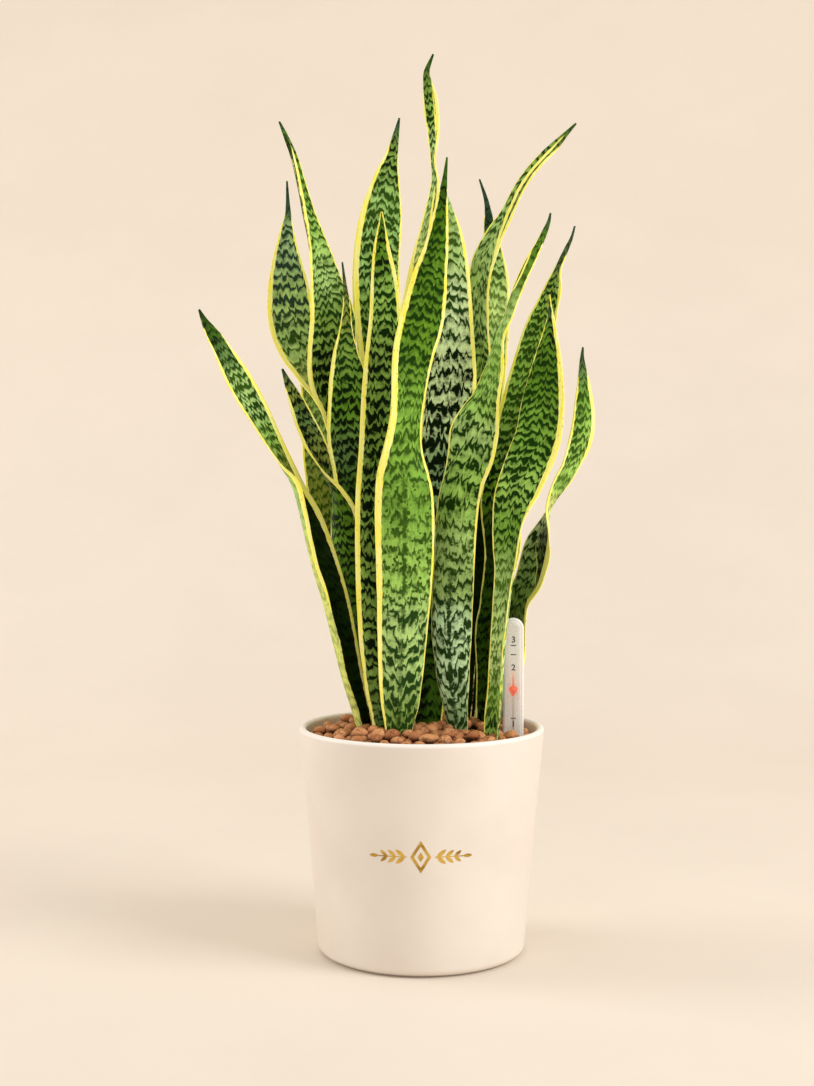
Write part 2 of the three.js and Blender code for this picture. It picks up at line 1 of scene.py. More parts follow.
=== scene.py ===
# %% [markdown]
# # A potted snake plant
#
# A snake plant is a bundle of stiff, upright, sword-shaped leaves. Each has a yellow margin and dark
# jagged bands across its green middle, and each twists a little as it rises. This one grows in fired-clay
# pebbles in a tapered cream pot, with a frosted water gauge standing at its right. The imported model
# gives every piece its place and size. What is left for this script is the look: finer meshes in the
# same places, and finishes that follow them.

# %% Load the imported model
import math

import bmesh
import bpy
from mathutils import Matrix, Vector, noise


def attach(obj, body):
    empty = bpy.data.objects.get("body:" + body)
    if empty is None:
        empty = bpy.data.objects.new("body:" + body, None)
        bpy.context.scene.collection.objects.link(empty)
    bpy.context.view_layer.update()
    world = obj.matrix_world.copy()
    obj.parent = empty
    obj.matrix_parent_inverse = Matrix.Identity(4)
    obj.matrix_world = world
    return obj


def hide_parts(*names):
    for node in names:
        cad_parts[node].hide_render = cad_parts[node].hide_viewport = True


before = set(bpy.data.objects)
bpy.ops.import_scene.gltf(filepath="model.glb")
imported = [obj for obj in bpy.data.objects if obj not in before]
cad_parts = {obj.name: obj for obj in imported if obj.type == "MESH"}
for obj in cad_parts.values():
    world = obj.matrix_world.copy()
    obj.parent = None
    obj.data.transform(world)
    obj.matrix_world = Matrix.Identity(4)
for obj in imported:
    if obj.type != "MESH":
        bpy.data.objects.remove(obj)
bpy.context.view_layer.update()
MM = 0.001

# %% [markdown]
# ## The viewpoint
#
# The plant is seen from its front, a metre and a half away and a little above its middle. A long lens
# keeps the pot's sides nearly parallel. The camera could be placed by eye, but the leaves' stations
# further down are sighted from this same point, so it is written down once and used by both.

# %% The camera
EYE = Vector((-12.5, -1455, 415.4))  # mm, where the photograph was taken from
PITCH_DOWN = 0.0435  # radians
FOCAL_PIXELS = 1698
PHOTO_SIZE = (814, 1086)

camera_data = bpy.data.cameras.new("camera")
camera_data.sensor_fit = "VERTICAL"
camera_data.sensor_height = 24
camera_data.lens = camera_data.sensor_height * FOCAL_PIXELS / PHOTO_SIZE[1]
camera = bpy.data.objects.new("camera", camera_data)
camera.location = EYE * MM
camera.rotation_euler = (math.pi / 2 - PITCH_DOWN, 0, 0)
bpy.context.scene.collection.objects.link(camera)
bpy.context.scene.camera = camera
print("lens", round(camera_data.lens, 1), "mm on a", camera_data.sensor_height, "mm high sensor")


# %% [markdown]
# ## Colours and small helpers
#
# Colours are easiest to read off a photograph as 0 to 255, but a shader works in linear light, so one
# helper turns the first into the second. The rest of this cell saves typing when nodes are joined.

# %% Helpers for nodes
def tint(red, green, blue):
    """A shader colour from a given colour."""

    def linear(level):
        share = level / 255
        return share / 12.92 if share <= 0.04045 else ((share + 0.055) / 1.055) ** 2.4

    return (linear(red), linear(green), linear(blue), 1.0)


def feed(tree, socket, value):
    """Joins a node's output to a socket, or sets the socket to a plain value."""
    if isinstance(value, bpy.types.NodeSocket):
        tree.links.new(value, socket)
    else:
        socket.default_value = value


def calc(tree, operation, a, b=0.0, c=0.0, clamp=False):
    """One step of arithmetic on values."""
    node = tree.nodes.new("ShaderNodeMath")
    node.operation = operation
    node.use_clamp = clamp
    for socket, value in zip(node.inputs, (a, b, c)):
        feed(tree, socket, value)
    return node.outputs[0]


def ramp(tree, value, low, high, out_low=0.0, out_high=1.0, smooth=True):
    """Carries value from the span low..high to out_low..out_high, and holds it outside."""
    node = tree.nodes.new("ShaderNodeMapRange")
    node.interpolation_type = "SMOOTHSTEP" if smooth else "LINEAR"
    for name, number in (("Value", value), ("From Min", low), ("From Max", high),
                         ("To Min", out_low), ("To Max", out_high)):
        feed(tree, node.inputs[name], number)
    return node.outputs["Result"]


def blend(tree, factor, first, second, mode="MIX"):
    """The first colour where factor is 0, the second where it is 1."""
    node = tree.nodes.new("ShaderNodeMix")
    node.data_type = "RGBA"
    node.blend_type = mode
    feed(tree, node.inputs["Factor"], factor)
    feed(tree, node.inputs[6], first)
    feed(tree, node.inputs[7], second)
    return node.outputs[2]


def stretched(tree, vector, sizes):
    """A vector with each of its three numbers multiplied by its own size."""
    node = tree.nodes.new("ShaderNodeVectorMath")
    node.operation = "MULTIPLY"
    feed(tree, node.inputs[0], vector)
    node.inputs[1].default_value = sizes
    return node.outputs[0]


def cloud(tree, vector, scale=1.0, detail=2.0, roughness=0.5):
    """Soft noise from 0 to 1 with its middle at 0.5."""
    node = tree.nodes.new("ShaderNodeTexNoise")
    feed(tree, node.inputs["Vector"], vector)
    node.inputs["Scale"].default_value = scale
    node.inputs["Detail"].default_value = detail
    node.inputs["Roughness"].default_value = roughness
    return node.outputs[0]


def bump(tree, height, distance, strength=1.0):
    node = tree.nodes.new("ShaderNodeBump")
    node.inputs["Strength"].default_value = strength
    node.inputs["Distance"].default_value = distance
    feed(tree, node.inputs["Height"], height)
    return node.outputs["Normal"]


def new_material(name):
    material = bpy.data.materials.new(name)
    material.use_nodes = True
    return material, material.node_tree, material.node_tree.nodes["Principled BSDF"]


def object_place(tree):
    return tree.nodes.new("ShaderNodeTexCoord").outputs["Object"]


def parts_of(tree, vector):
    """The X, Y and Z of a vector."""
    node = tree.nodes.new("ShaderNodeSeparateXYZ")
    feed(tree, node.inputs[0], vector)
    return node.outputs


def stored(tree, name, output="Fac"):
    """What a mesh keeps on its points under a name."""
    node = tree.nodes.new("ShaderNodeAttribute")
    node.attribute_name = name
    return node.outputs[output]


# %% Helpers for pieces
def piece_from(bm, name, material, node=None, smooth=True, body="planter"):
    """Makes a bmesh an object that rides on a body and, where node is given, stands for it."""
    mesh = bpy.data.meshes.new(name)
    bm.to_mesh(mesh)
    bm.free()
    mesh.polygons.foreach_set("use_smooth", [smooth] * len(mesh.polygons))
    mesh.materials.append(material)
    piece = bpy.data.objects.new(name, mesh)
    bpy.context.scene.collection.objects.link(piece)
    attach(piece, body)
    if node:
        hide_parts(node)
    return piece


def verts_in(made):
    """The vertices among what an operator has made."""
    return [item for item in made["geom"] if isinstance(item, bmesh.types.BMVert)]


def turned(outline, steps, centre=(0, 0)):
    """A turned shape from [radius, height] points in mm, whose ends lie on the axis."""
    bm = bmesh.new()
    points = [bm.verts.new((r * MM, 0, z * MM)) for r, z in outline]
    edges = [bm.edges.new(pair) for pair in zip(points, points[1:])]
    bmesh.ops.spin(bm, geom=points + edges, cent=(0, 0, 0), axis=(0, 0, 1), dvec=(0, 0, 0),
                   angle=math.tau, steps=steps, use_merge=True, use_normal_flip=False)
    bmesh.ops.remove_doubles(bm, verts=bm.verts[:], dist=1e-6)
    bmesh.ops.recalc_face_normals(bm, faces=bm.faces[:])
    bmesh.ops.translate(bm, verts=bm.verts[:], vec=(centre[0] * MM, centre[1] * MM, 0))
    return bm


def arc(centre_r, centre_z, radius, start, stop, pieces):
    """Points of an arc, its angles in degrees from straight out."""
    angles = [math.radians(start + (stop - start) * i / pieces) for i in range(pieces + 1)]
    return [(centre_r + radius * math.cos(a), centre_z + radius * math.sin(a)) for a in angles]


# %% [markdown]
# ## Pot
#
# The pot is cast in one piece: a tapered wall six millimetres thick, a rounded lip, and a foot set in
# so that a thin shadow shows under it. A profile spun about the axis gives all of that in one mesh.
# The cast surface is satin and almost plain, with a faint cloudiness and very fine pits, so its
# finish is a warm cream with two soft noises, one for the colour and one for the bump. The lip is
# painted paler than the wall near its top: a painted highlight, where the light catches its rounded
# edge.

# %% Cream ceramic
POT_HEIGHT = 195  # mm, as are all the sizes below
LIP_HIGHLIGHT = (4, 1.5)  # how far below the top the painted highlight on the lip starts, and where it is full


def cream_ceramic():
    material, tree, shader = new_material("cream_ceramic")
    place = object_place(tree)
    mottle = cloud(tree, place, scale=14, detail=3)
    shade = ramp(tree, mottle, 0.3, 0.7)
    grain = cloud(tree, place, scale=900, detail=2)
    colour = blend(tree, shade, tint(234, 223, 211), tint(239, 230, 219))
    start, full = LIP_HIGHLIGHT
    # painted highlight: the lip is blended to a paler cream near its top
    lip = ramp(tree, parts_of(tree, place)["Z"], (POT_HEIGHT - start) * MM, (POT_HEIGHT - full) * MM)
    feed(tree, shader.inputs["Base Color"], blend(tree, lip, colour, tint(248, 242, 234)))
    feed(tree, shader.inputs["Roughness"], ramp(tree, mottle, 0.3, 0.7, 0.34, 0.42))
    feed(tree, shader.inputs["Normal"], bump(tree, grain, 0.0002, 0.35))
    return material


CREAM = cream_ceramic()

# %% Spin the pot
POT_TOP_RADIUS = 105.5
POT_BASE_RADIUS = 88.3
WALL = 6.2
LIP_RADIUS = 3
FLOOR_THICKNESS = 8
FOOT_RADIUS = 82
FOOT_HEIGHT = 1.5
CORNER_RADIUS = 6
TAPER = (POT_TOP_RADIUS - POT_BASE_RADIUS) / POT_HEIGHT


def outer_radius(z):
    return POT_BASE_RADIUS + TAPER * z


def inner_radius(z):
    return outer_radius(z) - WALL


corner_z = FOOT_HEIGHT + CORNER_RADIUS
corner_r = outer_radius(corner_z) - CORNER_RADIUS
lip_z = POT_HEIGHT - LIP_RADIUS
lip_r = outer_radius(lip_z) - LIP_RADIUS
wall_rows = [corner_z + (lip_z - corner_z) * i / 8 for i in range(1, 8)]
pot_outline = [
    (0, 0), (FOOT_RADIUS - 0.6, 0), (FOOT_RADIUS, 0.5), (FOOT_RADIUS, FOOT_HEIGHT),
    *arc(corner_r, corner_z, CORNER_RADIUS, -88, 0, 8),
    *[(outer_radius(z), z) for z in wall_rows],
    *arc(lip_r, lip_z, LIP_RADIUS, 0, 180, 14),
    (inner_radius(lip_z - 6), lip_z - 6), (inner_radius(FLOOR_THICKNESS + 6), FLOOR_THICKNESS + 6),
    (inner_radius(FLOOR_THICKNESS) - 6, FLOOR_THICKNESS), (0, FLOOR_THICKNESS),
]
pot = piece_from(turned(pot_outline, 144), "pot_body", CREAM, "pot")
print("pot faces:", len(pot.data.polygons))

# %% [markdown]
# ## Ornament
#
# A small gold ornament lies on the front of the pot: a slim lozenge with a leafy sprig on each side.
# It is foil, so it stands proud by a hair only. Each of its parts starts as a flat grid that is drawn
# into shape, fine enough to bend, and the whole is then wrapped round the cone, by turning a sideways
# distance into an angle.

# %% Gold foil
ORNAMENT = {"lozenge": (17, 27), "line": 0.34, "z": 102.5, "turn": -0.8, "proud": 0.12, "thick": 0.25}
SPRIG = {"start": 11.5, "stem": 25, "stem_line": 0.9, "leaf": (9.5, 3.4), "pairs": 3,
         "first_pair": 1.5, "pair_step": 7.2, "pair_shrink": 0.1, "leaf_turn": 0.66, "end_leaf": 8}


def gold_foil():
    material, tree, shader = new_material("gold_foil")
    place = object_place(tree)
    sheen = cloud(tree, stretched(tree, place, (30, 30, 70)), detail=2)
    worn = cloud(tree, place, scale=500, detail=3)
    gold = blend(tree, ramp(tree, sheen, 0.35, 0.62), tint(150, 108, 24), tint(220, 182, 84))
    gold = blend(tree, ramp(tree, worn, 0.55, 0.75, 0.0, 0.35), gold, tint(122, 84, 18))
    feed(tree, shader.inputs["Base Color"], gold)
    shader.inputs["Metallic"].default_value = 0.55
    feed(tree, shader.inputs["Roughness"], ramp(tree, worn, 0.3, 0.7, 0.28, 0.42))
    feed(tree, shader.inputs["Normal"], bump(tree, worn, 0.0002, 0.3))
    return material


def flat_sheet(bm, cells, place):
    """A flat grid whose points are drawn to place(u, v), for u and v from 0 to 1, as (x, z)."""
    grid = bmesh.ops.create_grid(bm, x_segments=cells[0], y_segments=cells[1], size=0.5)
    for vert in grid["verts"]:
        x, z = place(vert.co.x + 0.5, vert.co.y + 0.5)
        vert.co = Vector((x, 0, z))


def lozenge_place(width, height, line):
    corners = [(width / 2, 0), (0, height / 2), (-width / 2, 0), (0, -height / 2)]

    def place(u, v):
        side = min(int(u * 4 + 1e-6), 3)
        (ax, az), (bx, bz) = corners[side], corners[(side + 1) % 4]
        t, inset = u * 4 - side, 1 - v * line
        return (ax + (bx - ax) * t) * inset, (az + (bz - az) * t) * inset

    return place


def leaf_place(x, z, length, width, turn, side):
    """A pointed leaf from (x, z), turned up by an angle, on the right or mirrored on the left."""

    def place(u, v):
        out, up = length * u, width * (v - 0.5) * math.sin(math.pi * u) ** 0.8
        return (side * (x + out * math.cos(turn) - up * math.sin(turn)),
                z + out * math.sin(turn) + up * math.cos(turn))

    return place


def wrap_on_pot(bm, height, turn, proud):
    """Lays flat shapes, drawn in mm about the origin, on the pot's front."""
    for vert in bm.verts:
        z = height + vert.co.z
        angle = math.radians(turn) + vert.co.x / outer_radius(height)
        reach = outer_radius(z) + proud + vert.co.y
        vert.co = Vector((math.sin(angle) * reach, -math.cos(angle) * reach, z)) * MM


bm = bmesh.new()
width, height = ORNAMENT["lozenge"]
flat_sheet(bm, (40, 1), lozenge_place(width, height, ORNAMENT["line"]))
flat_sheet(bm, (12, 3), lozenge_place(width * 0.3, height * 0.3, 0.999))
for side in (-1, 1):
    start, stem = SPRIG["start"], SPRIG["stem"]
    line = SPRIG["stem_line"]
    flat_sheet(bm, (12, 1), lambda u, v: (side * (start + stem * u), (v - 0.5) * line))
    length, broad = SPRIG["leaf"]
    for pair in range(SPRIG["pairs"]):
        root = start + SPRIG["first_pair"] + pair * SPRIG["pair_step"]
        small = 1 - SPRIG["pair_shrink"] * pair
        for turn in (-SPRIG["leaf_turn"], SPRIG["leaf_turn"]):
            flat_sheet(bm, (10, 2), leaf_place(root, 0, length * small, broad * small, turn, side))
    end = start + stem - SPRIG["first_pair"]
    flat_sheet(bm, (10, 2), leaf_place(end, 0, SPRIG["end_leaf"], broad * 0.9, 0, side))
bmesh.ops.remove_doubles(bm, verts=bm.verts[:], dist=0.01)
for vert in verts_in(bmesh.ops.extrude_face_region(bm, geom=bm.faces[:])):
    vert.co.y -= ORNAMENT["thick"]
wrap_on_pot(bm, ORNAMENT["z"], ORNAMENT["turn"], ORNAMENT["proud"])
bmesh.ops.recalc_face_normals(bm, faces=bm.faces[:])
ornament = piece_from(bm, "pot_ornament", gold_foil(), smooth=False)
print("ornament faces:", len(ornament.data.polygons))

# %% [markdown]
# ## Pebbles
#
# Fired-clay pebbles are round, brown and dull, ten to twenty millimetres across, with creases where
# the clay folded as it swelled. A particle system could strew them, but a fixed rule is easier to
# follow and gives the same bed each time: the seeds of a sunflower, one pebble to each, drawn from a
# small dice whose seed is written down. The bigger ones are the imported model's own. Small ones are
# added between them, on top and in a ring by the wall, and a bed of fill lies below, painted dark as
# shade between the pebbles.

# %% The pebbles' rule
BED_EDGE_HEIGHT = 183.5
BED_CROWN = 8
FILL_DROP = 1.5
GAP = 0.35
PEBBLE_COUNT = 84
PEBBLE_SPREAD = 88
PEBBLE_SIZE = {"long": (7.8, 9.6), "wide": (6.8, 8.4), "tall": (5.6, 7.2)}
PEBBLE_SEED = 2027
SHADE_SEED = 11
TOP_PEBBLES = [(-64, 48), (-52, -46), (22, -54), (-36, -56), (46, -50), (70, 44)]
TOP_PEBBLE_LIFT = 6.5
SMALL_PEBBLES = {  # added here: (how many, spread, lift, scale)
    "between": (190, 91, (-1.5, 2.0), (0.5, 0.72)),
    "on top": (130, 88, (2.5, 8.0), (0.6, 0.92)),
    "by the wall": (56, 91, (0.5, 4.0), (0.6, 0.8)),
}
PEBBLE_SHRINK = 0.86  # so that the model's own leave room for them
GAUGE_PLACE = (78.4, -8)  # where the water gauge stands
CLEAR_OF_GAUGE = 13  # how far the middle of a small pebble keeps from it
GOLDEN_ANGLE = math.pi * (3 - math.sqrt(5))


class Dice:
    """Throws the same numbers each time from one seed."""

    def __init__(self, seed):
        self.state = seed

    def throw(self, low, high):
        self.state = (self.state * 16807) % 2147483647
        return low + (high - low) * self.state / 2147483647


def bed_level(r):
    """How high the bed lies at a distance from the pot's axis."""
    return BED_EDGE_HEIGHT + BED_CROWN * (1 - (r / PEBBLE_SPREAD) ** 2)


def pebble_matrix(dice, x, y, lift, scale=1.0):
    size = [dice.throw(*PEBBLE_SIZE[side]) * scale for side in ("long", "wide", "tall")]
    turns = (dice.throw(-0.35, 0.35), dice.throw(-0.35, 0.35), dice.throw(0, math.pi))
    height = bed_level(math.hypot(x, y)) + lift + dice.throw(-1.2, 1.6)
    turn = Matrix.Identity(4)
    for angle, axis in zip(turns, "XYZ"):
        turn = turn @ Matrix.Rotation(angle, 4, axis)
    return Matrix.Translation((x, y, height)) @ turn @ Matrix.Diagonal((*size, 1))


def spiral(count, start=0.5, spread=PEBBLE_SPREAD):
    """Places like those of the seeds in a sunflower."""
    for i in range(count):
        r = spread * math.sqrt((i + start) / count)
        yield r * math.cos(i * GOLDEN_ANGLE), r * math.sin(i * GOLDEN_ANGLE)


def ring(count, r):
    """Places round the wall, every other one a little further in."""
    for i in range(count):
        angle, out = math.tau * i / count, r - 2 * (i % 2)
        yield out * math.cos(angle), out * math.sin(angle)


# %% Pebbles and fill
def crease(point, seed):
    """How far out a pebble's skin lies at a direction: lumps, and a fold or two."""
    lumps = noise.noise(point * 0.9 + Vector((seed, 0, 0)))
    folds = abs(noise.noise(point * 1.5 + Vector((0, seed, 0))))
    return 0.95 + 0.2 * lumps + 0.5 * min(folds, 0.14) - 0.03


def add_pebble(bm, matrix, seed, subdivisions, depth):
    """A pebble, with how far each vertex lies below its top kept in the layer depth, for painted shade on
    its underside.
    """
    ball = bmesh.ops.create_icosphere(bm, subdivisions=subdivisions, radius=1.0)
    turn = matrix.to_3x3().normalized()
    for vert in ball["verts"]:
        # 0 on top and 1 underneath, for painted shade on the underside
        vert[depth] = 0.5 - 0.5 * (turn @ vert.co.normalized()).z
        vert.co = matrix @ (vert.co * crease(vert.co, seed)) * MM


pebbles = bmesh.new()
depth = pebbles.verts.layers.float.new("depth")
dice = Dice(PEBBLE_SEED)
matrices = [pebble_matrix(dice, x, y, 0) for x, y in spiral(PEBBLE_COUNT)]
matrices += [pebble_matrix(dice, x, y, TOP_PEBBLE_LIFT) for x, y in TOP_PEBBLES]
shrink = Matrix.Diagonal((PEBBLE_SHRINK, PEBBLE_SHRINK, PEBBLE_SHRINK, 1))
for count, matrix in enumerate(matrices):
    add_pebble(pebbles, matrix @ shrink, 7.3 * count, 3, depth)
small = 0
for kind, (many, spread, lifts, scales) in SMALL_PEBBLES.items():
    places = ring(many, spread) if kind == "by the wall" else spiral(many, 0.9, spread)
    for x, y in places:
        small += 1
        lift, scale = dice.throw(*lifts), dice.throw(*scales)
        matrix = pebble_matrix(dice, x, y, lift, scale)
        if math.dist((x, y), GAUGE_PLACE) > CLEAR_OF_GAUGE:
            add_pebble(pebbles, matrix, 3.1 * small + 0.5, 2, depth)
print("pebbles:", len(matrices), "of the model's own, places for small ones:", small)

# %% [markdown]
# A pebble's colour changes from one to the next, from brick to dark umber, and each is paler where
# it has rubbed. The first needs a value that is the same all over a pebble, so every pebble gets a
# random shade stored on its own points. The rubbing and the pores are noise on the object's place.
# A second stored value is painted shade: it darkens each pebble's underside, whatever lies low in the bed,
# and the fill.

# %% Fired clay
def store_shade(bm, name, seed):
    """One random number from 0 to 1 for each loose island, kept on its vertices."""
    layer = bm.verts.layers.float.new(name)
    dice = Dice(seed)
    waiting = dict.fromkeys(bm.verts)
    while waiting:
        island, front = [], [next(iter(waiting))]
        while front:
            vert = front.pop()
            if vert in waiting:
                del waiting[vert]
                island.append(vert)
                front.extend(edge.other_vert(vert) for edge in vert.link_edges)
        shade = dice.throw(0, 1)
        for vert in island:
            vert[layer] = shade


def paint_low_shade(bm, layer):
    """Deepens the painted shade on whatever lies low in the bed, and on all the fill."""
    for vert in bm.verts:
        x, y, z = vert.co / MM
        above = z - bed_level(min(math.hypot(x, y), PEBBLE_SPREAD))
        low = max(0.0, min(1.0, 0.65 - above / 5))
        # painted shade: pebbles low in the bed and all the fill are darkened
        vert[layer] = max(0.9 * vert[layer] + 0.3 * low, low)


def fired_clay():
    material, tree, shader = new_material("fired_clay")
    place = object_place(tree)
    blotch = cloud(tree, place, scale=120, detail=3)
    pores = cloud(tree, place, scale=900, detail=3, roughness=0.7)
    body = blend(tree, stored(tree, "shade"), tint(176, 108, 62), tint(220, 154, 100))
    rubbed = blend(tree, ramp(tree, blotch, 0.45, 0.72, 0.0, 0.6), body, tint(232, 176, 126))
    # darker in the pores
    pore_darkened = blend(tree, ramp(tree, pores, 0.3, 0.5, 0.5, 0.0), rubbed, tint(104, 56, 28))
    # painted shade in the creases: dark lines along a folding noise
    fold = calc(tree, "ABSOLUTE", calc(tree, "SUBTRACT", cloud(tree, place, scale=110, detail=2), 0.5))
    crease_shaded = blend(tree, ramp(tree, fold, 0.005, 0.024, 0.6, 0.0), pore_darkened, tint(74, 34, 14))
    # painted shade: darker on each pebble's underside, low in the bed and on the fill
    painted_shade_share = ramp(tree, stored(tree, "depth"), 0.22, 0.7, 0.0, 0.96)
    painted_shade_clay = blend(tree, painted_shade_share, crease_shaded, tint(48, 20, 6))
    feed(tree, shader.inputs["Base Color"], painted_shade_clay)
    feed(tree, shader.inputs["Roughness"], ramp(tree, pores, 0.3, 0.7, 0.7, 0.5))
    shader.inputs["Specular IOR Level"].default_value = 0.3
    feed(tree, shader.inputs["Normal"], bump(tree, pores, 0.0006, 0.5))
    return material


low = FLOOR_THICKNESS + GAP
edge_r = inner_radius(BED_EDGE_HEIGHT) - GAP
fill = turned([
    (0, low), (inner_radius(FLOOR_THICKNESS) - 6 - GAP, low),
    (inner_radius(FLOOR_THICKNESS + 6) - GAP, FLOOR_THICKNESS + 6),
    (edge_r, BED_EDGE_HEIGHT - FILL_DROP),
    *[(r, bed_level(r) - FILL_DROP) for r in (66, 44, 22)], (0, bed_level(0) - FILL_DROP),
], 64)
fill_mesh = bpy.data.meshes.new("fill")
fill.to_mesh(fill_mesh)
fill.free()
pebbles.from_mesh(fill_mesh)
store_shade(pebbles, "shade", SHADE_SEED)
paint_low_shade(pebbles, pebbles.verts.layers.float["depth"])
bed = piece_from(pebbles, "clay_pebbles", fired_clay(), "pebble_bed")
print("pebble bed faces:", len(bed.data.polygons))

# %% [markdown]
# ## Leaves: where each one goes
#
# Every leaf is a list of stations up its middle line. A station is (x, z, depth, half, turn, cup): x
# and z are where it is seen from the camera, on the upright plane through the pot's axis; depth
# carries it back along the line of sight; half is half the blade's width; turn swings its right edge
# back, in degrees; and cup is half the angle that its width is bent through, hollow side to the
# camera where positive. A modifier along a curve could bend a flat strip, but it gives no hold on the
# twist and the cup at one place, and those two make a snake plant's leaf.

